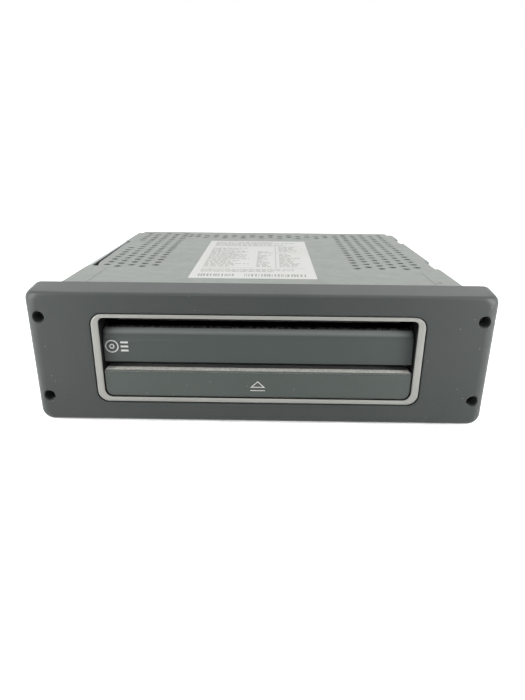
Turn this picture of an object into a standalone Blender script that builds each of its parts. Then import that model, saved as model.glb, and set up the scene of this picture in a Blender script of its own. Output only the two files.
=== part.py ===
"""Slot-loading car CD radio: moulded fascia, steel case, loading mechanism and boards.

Metres, +Z up. The fascia faces -Y, the case runs back along +Y, X is across the front.
The origin lies under the middle of the whole unit, level with the fascia's lowest edge.
"""
import math

import bmesh
import bpy
from mathutils import Vector

# General clearances
SEAT_GAP = 0.0003
RUNNING_GAP = 0.0004
CUT_OVERRUN = 0.002
JOIN_OVERLAP = 0.0003
ROUND_STEPS = 16
FINE_STEPS = 24
SMALL_STEPS = 10
CORNER_STEPS = 5

# Fascia
FASCIA_SIDE_OVERLAP = 0.0116
WINDOW_OFFSET = -0.0011
FASCIA_SILL = 0.0098
FASCIA_BROW = 0.0091
FASCIA_DEPTH = 0.0130
FASCIA_TOP_DRAFT = 0.0018
FASCIA_WALL = 0.0022
FASCIA_CORNER = 0.0042
FASCIA_SIDE_ROUND = 0.0055
FASCIA_BOTTOM_ROUND = 0.0032
FASCIA_TOP_ROUND = 0.0013
FASCIA_RIB = 0.0012
FASCIA_TOP_ROUND_SHARES = (0.0, 0.35, 1.0)
FASCIA_SIDE_ROUND_SHARES = (0.45, 0.7, 1.0)
FASCIA_RIB_SHARES = (0.36, 0.64)
SCREW_SIDE_MARGIN = 0.0061
SCREW_LOW_MARGIN = 0.0118
SCREW_HIGH_MARGIN = 0.0108
SCREW_BORE = 0.0034
SCREW_RECESS = 0.0049
SCREW_RECESS_DEPTH = 0.0065
SCREW_BOSS = 0.0080

# Trim ring round the window
RING_SIDE_MARGIN = 0.0294
RING_SIDE_BAND = 0.0032
RING_FLAT_BAND = 0.0020
RING_CORNER = 0.0050
RING_PROUD = 0.0004
RING_FLANGE = 0.0012
RING_CHAMFER = 0.0005
RING_SKIRT = 0.0011
RING_DEPTH = 0.0100

# Slot panel
PANEL_PLATE = 0.0020
PANEL_RECESS = 0.0030
PANEL_HEIGHT = 0.0179
PANEL_TOP_ROUND = 0.0040
PANEL_ROUND_STEPS = 6
PANEL_SHELL = 0.0020
SLOT_HEIGHT = 0.0046
SLOT_UNDER_RING = 0.0002
SLOT_SIDE_MARGIN = 0.0077
FELT_THICKNESS = 0.0008
FELT_BORDER = 0.0026
FELT_OVERHANG = 0.0002
BUTTON_WINDOW_BORDER = 0.0040
BOARD_BOSS = 0.0046
BOARD_BOSS_MARGIN = 0.0182

# Eject button
BUTTON_TRAVEL = 0.0012
BUTTON_SETBACK = 0.0003
BUTTON_DEPTH = 0.0078
BUTTON_HEIGHT = 0.0127
BUTTON_WALL = 0.0016
BUTTON_GAP_ABOVE = 0.0012
BUTTON_CORNER = 0.0030
BUTTON_EDGE = 0.0003
BUTTON_RIB_SHARES = (-0.8, -0.3, 0.0, 0.3, 0.8)
BUTTON_POST = 0.0030
SWITCH_MARGIN = 0.0312

# Switches and their board
SWITCH_SIDE = 0.0062
SWITCH_BODY = 0.0034
PLUNGER = 0.0032
PLUNGER_BORE_SHARE = 0.85
BOARD_THICKNESS = 0.0016
SWITCH_BOARD_MARGIN = 0.0122
SWITCH_BOARD_HEIGHT = 0.0125

# Steel case
CASE_WIDTH = 0.178
CASE_HEIGHT = 0.050
CASE_LENGTH = 0.1572
SHEET = 0.0008
FRONT_WINDOW_INSET = 0.0007
FRONT_WINDOW_LIP = 0.0010
FRONT_WINDOW_RISE = 0.0031
SIDE_SCREW_HOLE = 0.0048
SIDE_SCREW_HEIGHT = 0.0140
SIDE_SCREW_PITCH = 0.0125
SIDE_SCREW_FRONT = 0.0560
SIDE_SCREW_REAR = 0.1290
FLOOR_SLOT_LENGTH = 0.0120
FLOOR_SLOT_ROW = 0.0180
FLOOR_SLOT_WIDTH = 0.0024
FLOOR_SLOT_PITCH = 0.0080
FLOOR_SLOT_COUNT = 7
CLIP_THICKNESS = 0.0016
CLIP_HEIGHT = 0.0080
CLIP_REACH = 0.0110
CLIP_HOOK = 0.0012
CLIP_ABOVE_FLOOR = 0.0151
CLIP_SLOT_CLEARANCE = 0.0012

# Top cover
COVER_EAR_OUT = 0.0011
COVER_EAR_LENGTH = 0.0390
COVER_EAR_DROP = 0.0200
COVER_TAB_DROP = 0.0090
COVER_EDGE_INSET = 0.0021
LEFT_SLIT_END = 0.1150
RIGHT_TAB_START = 0.0590
RIGHT_TAB_END = 0.1170
RIGHT_REAR_TAB_START = 0.1350
COVER_REAR_DROP = 0.0090
COVER_REAR_INSET = 0.0060
EAR_NOTCH_BACK = 0.0207
EAR_NOTCH_LENGTH = 0.0016
EAR_NOTCH_DEPTH = 0.0012
EAR_NOTCH_DROP = 0.0030
KEY_SLOT_MARGIN = 0.0087
KEY_SLOT_BACK = 0.0090
KEY_SLOT_LENGTH = 0.0030
KEY_SLOT_WIDTH = 0.0011
HOLE_DIAMETER = 0.0038
HOLE_PITCH_X = 0.0062
HOLE_PITCH_Y = 0.0071
HOLE_SIDES = 6
LEFT_FIELD_MARGIN = 0.0088
LEFT_FIELD_COLUMNS = 5
RIGHT_FIELD_MARGIN = 0.0103
RIGHT_FIELD_COLUMNS = 6
FIELD_START = 0.0385
FIELD_ROWS = 16
REAR_BAND_LEFT_GAP = 0.0097
REAR_BAND_RIGHT_GAP = 0.0060
REAR_BAND_ROWS = 2
REAR_BAND_BACK = 0.0130

# Boards and electronics
MAIN_BOARD_SIDE_MARGIN = 0.0190
MAIN_BOARD_LENGTH = 0.1380
MAIN_BOARD_CLEARANCE = 0.0051
MAIN_BOARD_REAR_MARGIN = 0.0020
STANDOFF = 0.0060
STANDOFF_TOP = 0.0040
STANDOFF_INSET = 0.0080
CAPACITOR_DIAMETER = 0.0100
CAPACITOR_HEIGHT = 0.0120
CAPACITOR_EDGE = 0.0005
CAPACITOR_GROOVE = 0.0004
CAPACITOR_GROOVE_SHARES = (0.12, 0.18, 0.24)
CAPACITOR_MARGIN = 0.0120
CAPACITOR_FRONT = 0.0280
CAPACITOR_PITCH = 0.0125
CAPACITOR_COUNT = 3
TUNER_WIDTH = 0.0320
TUNER_LENGTH = 0.0260
TUNER_HEIGHT = 0.0100
TUNER_MARGIN = 0.0200
TUNER_BACK = 0.0460
CHIP_SIDE = 0.0200
CHIP_HEIGHT = 0.0022
CHIP_X = -0.0120
CHIP_FRONT = 0.0420
AMPLIFIER_WIDTH = 0.0280
AMPLIFIER_DEPTH = 0.0046
AMPLIFIER_HEIGHT = 0.0085
HEAT_SINK_STUD_GAP = 0.0085
HEAT_SINK_ANTENNA_GAP = 0.0095
HEAT_SINK_HEIGHT = 0.0300
HEAT_SINK_BOTTOM = 0.0050
HEAT_SINK_BASE = 0.0030
HEAT_SINK_FIN = 0.0014
HEAT_SINK_FIN_DEPTH = 0.0080
HEAT_SINK_FIN_PITCH = 0.0058

# Rear connectors
CONNECTOR_MARGIN = 0.0520
CONNECTOR_WIDTH = 0.0500
CONNECTOR_HEIGHT = 0.0180
CONNECTOR_DEPTH = 0.0170
CONNECTOR_OUT = 0.0050
CONNECTOR_WALL = 0.0016
CONNECTOR_FLOOR = 0.0030
PIN_SIZE = 0.0010
PIN_LENGTH = 0.0080
PIN_COLUMNS = 8
ANTENNA_MARGIN = 0.0130
ANTENNA_HEIGHT = 0.0190
ANTENNA_DIAMETER = 0.0130
ANTENNA_BORE = 0.0080
ANTENNA_LENGTH = 0.0160
ANTENNA_OUT = 0.0080
ANTENNA_FLANGE = 0.0150
ANTENNA_PIN = 0.0022
ANTENNA_PIN_LENGTH = 0.0060
ANTENNA_FLOOR = 0.0020
STUD_X = -0.0010
STUD_HEIGHT = 0.0300
STUD_DIAMETER = 0.0050
STUD_LENGTH = 0.0100
STUD_TIP = 0.0034
STUD_POINT = 0.0008
STUD_COLLAR = 0.0090
STUD_COLLAR_THICKNESS = 0.0020

# Disc and deck
DISC_CENTRE_BACK = 0.0730
DISC_ABOVE_SLOT = 0.0023
DISC_BELOW_CASE_TOP = 0.0138
DISC_THICKNESS = 0.0012
DECK_SHEET = 0.0012
DECK_SIDE_SPACE = 0.0230
DECK_FRONT = 0.0130
DECK_LENGTH = 0.1320
DECK_BELOW_DISC = 0.0070
DECK_EAR_WIDTH = 0.0140
DECK_EAR_LENGTH = 0.0120
DECK_EAR_FRONT = 0.0590
DECK_EAR_REAR = 0.1270
BRACKET_SHEET = 0.0012
BRACKET_FOOT = 0.0080
BRACKET_MARGIN = 0.0040
DAMPER_DIAMETER = 0.0090
DAMPER_WAIST = 0.0060
DAMPER_HEIGHT = 0.0050
DAMPER_SHARES = ((0.0, 1.0), (0.3, 1.0), (0.5, 0.0), (0.7, 1.0), (1.0, 1.0))

# Loading roller and its gears
ROLLER_BACK = 0.0080
ROLLER_END_DIAMETER = 0.0070
ROLLER_MID_DIAMETER = 0.0058
ROLLER_END_SPACE = 0.0070
ROLLER_MIDDLE_GAP = 0.0060
SHAFT_DIAMETER = 0.0030
SHAFT_END = 0.0008
BEARING_DIAMETER = 0.0060
BEARING_FLANGE = 0.0080
BEARING_WIDTH = 0.0026
FLANGE_TOP_ABOVE_SHAFT = 0.0046
GEAR_MODULE = 0.0008
GEAR_WIDTH = 0.0036
GEAR_BACKLASH = 0.0002
GEAR_ADDENDUM_SHARE = 0.85
GEAR_DEDENDUM_SHARE = 1.15
GEAR_ROOT_SHARE = 0.26
GEAR_TIP_SHARE = 0.10
ROLLER_TEETH = 16
IDLER_TEETH = 24
PINION_TEETH = 10
IDLER_DROP_ANGLE = 35.0
PINION_DROP_ANGLE = 17.0
IDLER_PIN = 0.0030
IDLER_HEAD = 0.0054
IDLER_HEAD_THICKNESS = 0.0010
MOTOR_DIAMETER = 0.0160
MOTOR_LENGTH = 0.0230
MOTOR_SHAFT = 0.0020
MOTOR_BOSS = 0.0060
MOTOR_TAIL = 0.0020

# Turntable
TURNTABLE_DIAMETER = 0.0300
TURNTABLE_RIM = 0.0016
TURNTABLE_CONE = 0.0148
TURNTABLE_CONE_HEIGHT = 0.0016
CONE_TOP_SHARE = 0.8
TURNTABLE_HUB = 0.0080
SPINDLE_MOTOR_DIAMETER = 0.0260
SPINDLE_MOTOR_HEIGHT = 0.0066
SPINDLE_MOTOR_EDGE = 0.0012
SPINDLE_SHAFT = 0.0020
SPINDLE_SHAFT_TOP = 0.0020

# Disc guide
GUIDE_THICKNESS = 0.0012
GUIDE_ABOVE_DISC = 0.0038
GUIDE_SIDE_GAP = 0.0015
GUIDE_FRONT = 0.0035
GUIDE_LENGTH = 0.1330
GUIDE_RAIL = 0.0024
GUIDE_RAIL_DROP = 0.0022
GUIDE_LEG = 0.0080
GUIDE_WINDOW = 0.0360
GUIDE_LEG_FRONT = 0.0490
GUIDE_LEG_REAR = 0.1240

# Clamp
ARM_WIDTH = 0.0200
ARM_SHEET = 0.0010
ARM_ABOVE_GUIDE = 0.0020
ARM_FRONT_OVERHANG = 0.0100
CHEEK_MARGIN = 0.0018
CLAMP_PIVOT_BACK = 0.0660
CLAMP_PIN = 0.0026
CLAMP_PIN_HEAD = 0.0041
CLAMP_PIN_HEAD_THICKNESS = 0.0013
CLAMP_BRACKET_WIDTH = 0.0340
CLAMP_BRACKET_LENGTH = 0.0100
PUCK_DIAMETER = 0.0280
PUCK_THICKNESS = 0.0032
PUCK_SHOULDER = 0.0186
PUCK_NECK = 0.0070
PUCK_HEAD = 0.0120
PUCK_HEAD_THICKNESS = 0.0010
PUCK_LIFT = 0.0034
SPRING_WIRE = 0.0006
SPRING_TURNS = 5
SPRING_LENGTH = 0.0070
SPRING_POINTS_PER_TURN = 8
SPRING_SIDES = 5

# Optical pickup
ROD_DIAMETER = 0.0030
ROD_SPACING = 0.0340
ROD_BELOW_DECK = 0.0056
HOLDER_THICKNESS = 0.0030
HOLDER_FRONT = 0.0136
SLED_TRAVEL = 0.0330
SLED_END_GAP = 0.0005
SLED_LENGTH = 0.0140
SLED_WIDTH = 0.0400
SLED_HEIGHT = 0.0066
SLED_WAIST = 0.0240
SLED_WAIST_EDGE = 0.0008
LENS_BLOCK = 0.0100
LENS_BLOCK_HEIGHT = 0.0030
LENS_DIAMETER = 0.0050
LENS_DOME = 0.0010
LENS_STROKE = 0.0004
LENS_ARC = 70.0
LENS_STEPS = 3
LEAD_SCREW_DIAMETER = 0.0024
LEAD_SCREW_FROM_ROD = 0.0090
SCREW_NUT_ARM = 0.0040
SLED_MOTOR_DIAMETER = 0.0100
SLED_MOTOR_LENGTH = 0.0120
SLED_MOTOR_EDGE = 0.0006
SLED_MOTOR_TAIL = 0.0008

# Levels and stations worked out from the sizes above
FASCIA_WIDTH = CASE_WIDTH + 2 * FASCIA_SIDE_OVERLAP
SCREW_SPACING_X = FASCIA_WIDTH - 2 * SCREW_SIDE_MARGIN
RING_WIDTH = FASCIA_WIDTH - 2 * RING_SIDE_MARGIN
SLOT_WIDTH = RING_WIDTH - 2 * SLOT_SIDE_MARGIN
BOARD_BOSS_X = RING_WIDTH / 2 - BOARD_BOSS_MARGIN
SWITCH_X = RING_WIDTH / 2 - SWITCH_MARGIN
SWITCH_BOARD_WIDTH = RING_WIDTH - 2 * SWITCH_BOARD_MARGIN
FRONT_WINDOW_WIDTH = RING_WIDTH - 2 * FRONT_WINDOW_INSET
REAR_END = FASCIA_DEPTH + SEAT_GAP + CASE_LENGTH + SEAT_GAP + HEAT_SINK_BASE + HEAT_SINK_FIN_DEPTH
FRONT = -(REAR_END - RING_PROUD) / 2
FASCIA_BACK = FRONT + FASCIA_DEPTH
CASE_FRONT = FASCIA_BACK + SEAT_GAP
CASE_BACK = CASE_FRONT + CASE_LENGTH
RING_BOTTOM = FASCIA_SILL
WINDOW_BOTTOM = RING_BOTTOM + RING_FLAT_BAND
BUTTON_BOTTOM = WINDOW_BOTTOM + RUNNING_GAP
BUTTON_TOP = BUTTON_BOTTOM + BUTTON_HEIGHT
BUTTON_MIDDLE = (BUTTON_BOTTOM + BUTTON_TOP) / 2
PANEL_BOTTOM = BUTTON_TOP + BUTTON_GAP_ABOVE
SLOT_BOTTOM = PANEL_BOTTOM + PANEL_HEIGHT
SLOT_TOP = SLOT_BOTTOM + SLOT_HEIGHT
WINDOW_TOP = SLOT_TOP - SLOT_UNDER_RING
RING_TOP = WINDOW_TOP + RING_FLAT_BAND
FASCIA_HEIGHT = RING_TOP + FASCIA_BROW
SCREW_ROWS = (SCREW_LOW_MARGIN, FASCIA_HEIGHT - SCREW_HIGH_MARGIN)
FRONT_WINDOW_TOP = RING_TOP + FRONT_WINDOW_RISE
DISC_PLANE = SLOT_BOTTOM + DISC_ABOVE_SLOT
CASE_TOP = DISC_PLANE + DISC_BELOW_CASE_TOP
CASE_DROP = CASE_TOP - CASE_HEIGHT
FLOOR_TOP = CASE_DROP + SHEET
COVER_UNDER = CASE_TOP - SHEET
WALL_TOP = COVER_UNDER - SEAT_GAP
CASE_HALF = CASE_WIDTH / 2
CLIP_BOTTOM = FLOOR_TOP + CLIP_ABOVE_FLOOR
KEY_SLOT_X = CASE_HALF - KEY_SLOT_MARGIN
LEFT_FIELD_X = LEFT_FIELD_MARGIN - CASE_HALF
RIGHT_FIELD_X = CASE_HALF - RIGHT_FIELD_MARGIN - (RIGHT_FIELD_COLUMNS - 1) * HOLE_PITCH_X
LEFT_FIELD_END = LEFT_FIELD_X + (LEFT_FIELD_COLUMNS - 1) * HOLE_PITCH_X
REAR_BAND_X = LEFT_FIELD_END + REAR_BAND_LEFT_GAP
REAR_BAND_WIDTH = RIGHT_FIELD_X - REAR_BAND_RIGHT_GAP - REAR_BAND_X
REAR_BAND_COLUMNS = 1 + int(REAR_BAND_WIDTH / HOLE_PITCH_X)
CONNECTOR_X = CONNECTOR_MARGIN - CASE_HALF
ANTENNA_X = CASE_HALF - ANTENNA_MARGIN
HEAT_SINK_LEFT = STUD_X + STUD_COLLAR / 2 + HEAT_SINK_STUD_GAP
HEAT_SINK_WIDTH = ANTENNA_X - ANTENNA_DIAMETER / 2 - HEAT_SINK_ANTENNA_GAP - HEAT_SINK_LEFT
HEAT_SINK_X = HEAT_SINK_LEFT + HEAT_SINK_WIDTH / 2
HEAT_SINK_FINS = 1 + round((HEAT_SINK_WIDTH - HEAT_SINK_FIN) / HEAT_SINK_FIN_PITCH)
MAIN_BOARD_WIDTH = CASE_WIDTH - 2 * MAIN_BOARD_SIDE_MARGIN
CAPACITOR_X = MAIN_BOARD_WIDTH / 2 - CAPACITOR_MARGIN
TUNER_X = MAIN_BOARD_WIDTH / 2 - TUNER_MARGIN
DECK_WIDTH = CASE_WIDTH - 2 * DECK_SIDE_SPACE
GUIDE_WIDTH = DECK_WIDTH - 2 * GUIDE_SIDE_GAP
ROLLER_LENGTH = (DECK_WIDTH - ROLLER_MIDDLE_GAP) / 2 - ROLLER_END_SPACE
WALL_INSIDE = CASE_HALF - SHEET
RING_HALF = RING_WIDTH / 2
WINDOW_HALF = RING_HALF - RING_SIDE_BAND
WINDOW_CORNER = RING_CORNER - RING_FLAT_BAND
PLATE_FRONT = FRONT + RING_DEPTH + SEAT_GAP
PLATE_BACK = PLATE_FRONT + PANEL_PLATE
FELT_FRONT = PLATE_BACK + SEAT_GAP
BUTTON_FRONT = FRONT + BUTTON_SETBACK
BUTTON_BACK = BUTTON_FRONT + BUTTON_DEPTH
SWITCH_FRONT = PLATE_BACK + SEAT_GAP + BUTTON_TRAVEL
SWITCH_BACK = SWITCH_FRONT + SWITCH_BODY
SWITCH_BOARD_FRONT = SWITCH_BACK + SEAT_GAP
SWITCH_BOARD_BACK = SWITCH_BOARD_FRONT + BOARD_THICKNESS
BOARD_UNDER = FLOOR_TOP + MAIN_BOARD_CLEARANCE
BOARD_TOP = BOARD_UNDER + BOARD_THICKNESS
BOARD_BACK = CASE_BACK - SHEET - MAIN_BOARD_REAR_MARGIN
BOARD_FRONT = BOARD_BACK - MAIN_BOARD_LENGTH
ON_BOARD = BOARD_TOP + SEAT_GAP
DISC_Y = CASE_FRONT + DISC_CENTRE_BACK
DECK_TOP = DISC_PLANE - DECK_BELOW_DISC
DECK_UNDER = DECK_TOP - DECK_SHEET
DECK_HALF = DECK_WIDTH / 2
DECK_START = CASE_FRONT + DECK_FRONT
DECK_END = DECK_START + DECK_LENGTH
GUIDE_UNDER = DISC_PLANE + GUIDE_ABOVE_DISC
GUIDE_TOP = GUIDE_UNDER + GUIDE_THICKNESS
ROLLER_Y = CASE_FRONT + ROLLER_BACK
ROLLER_Z = DISC_PLANE - DISC_THICKNESS / 2 - ROLLER_END_DIAMETER / 2
FLANGE_OUT = DECK_HALF
FLANGE_IN = DECK_HALF - DECK_SHEET
GEAR_X = -(FLANGE_OUT + BEARING_WIDTH + SEAT_GAP)
TURNTABLE_TOP = DISC_PLANE - DISC_THICKNESS
ARM_UNDER = GUIDE_TOP + ARM_ABOVE_GUIDE
ARM_TOP = ARM_UNDER + ARM_SHEET
CLAMP_Y = DISC_Y + CLAMP_PIVOT_BACK
CLAMP_Z = ARM_TOP + CLAMP_PIN / 2 + SEAT_GAP + SPRING_WIRE + RUNNING_GAP
CHEEK_TOP = CLAMP_Z + CHEEK_MARGIN
ROD_Z = DECK_UNDER - ROD_BELOW_DECK
HOLDER_START = DISC_Y + HOLDER_FRONT
SLED_Y = HOLDER_START + HOLDER_THICKNESS + SLED_END_GAP + SLED_LENGTH / 2
ROD_LENGTH = 2 * (HOLDER_THICKNESS + SLED_END_GAP) + SLED_LENGTH + SLED_TRAVEL
LEAD_SCREW_OFFSET = ROD_SPACING / 2 + LEAD_SCREW_FROM_ROD


def pitch_radius(teeth):
    """Pitch circle radius of a gear of this unit's module."""
    return GEAR_MODULE * teeth / 2


def gear_distance(first, second):
    """Distance between the axes of two meshing gears, with backlash."""
    return pitch_radius(first) + pitch_radius(second) + GEAR_BACKLASH


def step_down(point, distance, angle):
    """Move back and down from (y, z) by a distance at an angle below level."""
    turn = math.radians(angle)
    return point[0] + distance * math.cos(turn), point[1] - distance * math.sin(turn)


ROLLER_AXIS = (ROLLER_Y, ROLLER_Z)
IDLER_AXIS = step_down(ROLLER_AXIS, gear_distance(ROLLER_TEETH, IDLER_TEETH), IDLER_DROP_ANGLE)
PINION_AXIS = step_down(IDLER_AXIS, gear_distance(IDLER_TEETH, PINION_TEETH), PINION_DROP_ANGLE)


def clear_scene():
    """Empty the scene of objects."""
    for item in list(bpy.data.objects):
        bpy.data.objects.remove(item, do_unlink=True)


def material(name, colour, metallic, roughness):
    """Principled material with a plain colour, made once."""
    found = bpy.data.materials.get(name)
    if found:
        return found
    made = bpy.data.materials.new(name)
    made.use_nodes = True
    shader = made.node_tree.nodes["Principled BSDF"]
    shader.inputs["Base Color"].default_value = (*colour, 1.0)
    shader.inputs["Metallic"].default_value = metallic
    shader.inputs["Roughness"].default_value = roughness
    return made


def charcoal_plastic():
    return material("charcoal_abs", (0.075, 0.078, 0.080), 0.0, 0.55)


def black_plastic():
    return material("black_plastic", (0.018, 0.018, 0.019), 0.0, 0.5)


def satin_silver():
    return material("satin_silver", (0.52, 0.52, 0.49), 0.7, 0.38)


def zinc_steel():
    return material("zinc_steel", (0.50, 0.54, 0.53), 0.85, 0.42)


def bright_steel():
    return material("bright_steel", (0.62, 0.62, 0.62), 1.0, 0.25)


def rubber():
    return material("black_rubber", (0.02, 0.02, 0.02), 0.0, 0.85)


def felt():
    return material("black_felt", (0.012, 0.012, 0.012), 0.0, 1.0)


def board_green():
    return material("board_green", (0.03, 0.16, 0.07), 0.0, 0.4)


def white_plastic():
    return material("acetal_white", (0.72, 0.70, 0.64), 0.0, 0.45)


def cast_aluminium():
    return material("extruded_aluminium", (0.60, 0.60, 0.61), 1.0, 0.4)


def lens_glass():
    return material("lens_glass", (0.30, 0.38, 0.45), 0.0, 0.05)


def place_along(axis, first, second, along):
    """Point from two coordinates of an outline and one along its extrusion axis."""
    if axis == "X":
        return Vector((along, first, second))
    if axis == "Y":
        return Vector((first, along, second))
    return Vector((first, second, along))


def add_rings(shape, rings, closed=False):
    """Skin rings of equal length, capped at both ends or joined end to end."""
    rows = [[shape.verts.new(point) for point in ring] for ring in rings]
    count = len(rows[0])
    pairs = list(zip(rows, rows[1:]))
    if closed:
        pairs.append((rows[-1], rows[0]))
    for low, high in pairs:
        for index in range(count):
            following = (index + 1) % count
            shape.faces.new((low[index], low[following], high[following], high[index]))
    if not closed:
        shape.faces.new(rows[0])
        shape.faces.new(rows[-1])


def add_prism(shape, outline, axis, start, end):
    """Extrude an outline along X, Y or Z."""
    rings = [[place_along(axis, a, b, along) for a, b in outline] for along in (start, end)]
    add_rings(shape, rings)


def add_box(shape, across, along, up):
    """Box between two X, two Y and two Z values."""
    outline = [(across[0], along[0]), (across[1], along[0]), (across[1], along[1]), (across[0], along[1])]
    add_prism(shape, outline, "Z", up[0], up[1])


def circle(centre, radius, steps, turn=0.0):
    """Points of a circle as pairs."""
    angles = [turn + 2 * math.pi * index / steps for index in range(steps)]
    return [(centre[0] + radius * math.cos(a), centre[1] + radius * math.sin(a)) for a in angles]


def add_turned(shape, profile, centre, axis, steps=ROUND_STEPS, closed=False):
    """Turn a profile of (radius, along) pairs about an axis, capped or closed round a bore."""
    rings = []
    for radius, along in profile:
        rings.append([place_along(axis, a, b, along) for a, b in circle(centre, radius, steps)])
    add_rings(shape, rings, closed)


def quarter_arc(centre, radius, start):
    """Points of a quarter circle from a start angle in degrees."""
    points = []
    for index in range(CORNER_STEPS + 1):
        angle = math.radians(start + 90.0 * index / CORNER_STEPS)
        points.append((centre[0] + radius * math.cos(angle), centre[1] + radius * math.sin(angle)))
    return points


def rounded_outline(half_width, bottom, top, radius, middle=0.0):
    """Rectangle with round corners as (x, z) pairs, counter-clockwise from the lower right."""
    right = middle + half_width - radius
    left = middle - half_width + radius
    points = quarter_arc((right, bottom + radius), radius, -90.0)
    points += quarter_arc((right, top - radius), radius, 0.0)
    points += quarter_arc((left, top - radius), radius, 90.0)
    points += quarter_arc((left, bottom + radius), radius, 180.0)
    return points


def window_places(distance):
    """Left and right X at a distance from the middle of the window."""
    return WINDOW_OFFSET - distance, WINDOW_OFFSET + distance


def finish(name, shape, skin=None, origin=(0.0, 0.0, 0.0), smooth=None):
    """Turn a bmesh into an object whose origin is at the given point."""
    bmesh.ops.recalc_face_normals(shape, faces=shape.faces)
    bmesh.ops.translate(shape, verts=shape.verts, vec=-Vector(origin))
    mesh = bpy.data.meshes.new(name)
    shape.to_mesh(mesh)
    shape.free()
    if smooth is not None:
        mesh.shade_smooth()
        mesh.set_sharp_from_angle(angle=math.radians(smooth))
    made = bpy.data.objects.new(name, mesh)
    made.location = origin
    bpy.context.scene.collection.objects.link(made)
    if skin:
        mesh.materials.append(skin)
    return made


def combine(target, shape, operation, tool):
    """Cut or join a shape with a Boolean that stays live on the target."""
    other = finish(tool, shape)
    other.hide_render = True
    other.display_type = "WIRE"
    step = target.modifiers.new(tool, "BOOLEAN")
    step.operation = operation
    step.solver = "EXACT"
    step.object = other
    return target


def cut(target, shape, tool):
    return combine(target, shape, "DIFFERENCE", "cutter_" + tool)


def join(target, shape, tool):
    return combine(target, shape, "UNION", "joined_" + tool)


def edge_round(depth, radius):
    """How far a quarter-round edge is drawn in at a depth behind the front."""
    if depth >= radius:
        return 0.0
    rest = 1.0 - depth / radius
    return radius * (1.0 - math.sqrt(max(0.0, 1.0 - rest * rest)))


def fascia_outline(depth, inset):
    """Fascia outline at a depth, drawn in by its rounded edges and an inset."""
    side = edge_round(depth, FASCIA_SIDE_ROUND) + inset
    below = edge_round(depth, FASCIA_BOTTOM_ROUND) + inset
    above = edge_round(depth, FASCIA_TOP_ROUND) + inset
    top = FASCIA_HEIGHT + FASCIA_TOP_DRAFT * depth / FASCIA_DEPTH
    return rounded_outline(FASCIA_WIDTH / 2 - side, below, top - above, FASCIA_CORNER - inset)


def fascia_rings(depths, inset):
    """Fascia outlines at several depths, as rings of points."""
    rings = []
    for depth in depths:
        outline = fascia_outline(depth, inset)
        rings.append([Vector((x, FRONT + depth, z)) for x, z in outline])
    return rings


def screw_places():
    """Centres of the four fixing holes as (x, z)."""
    for side in (-1, 1):
        for height in SCREW_ROWS:
            yield side * SCREW_SPACING_X / 2, height


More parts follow.
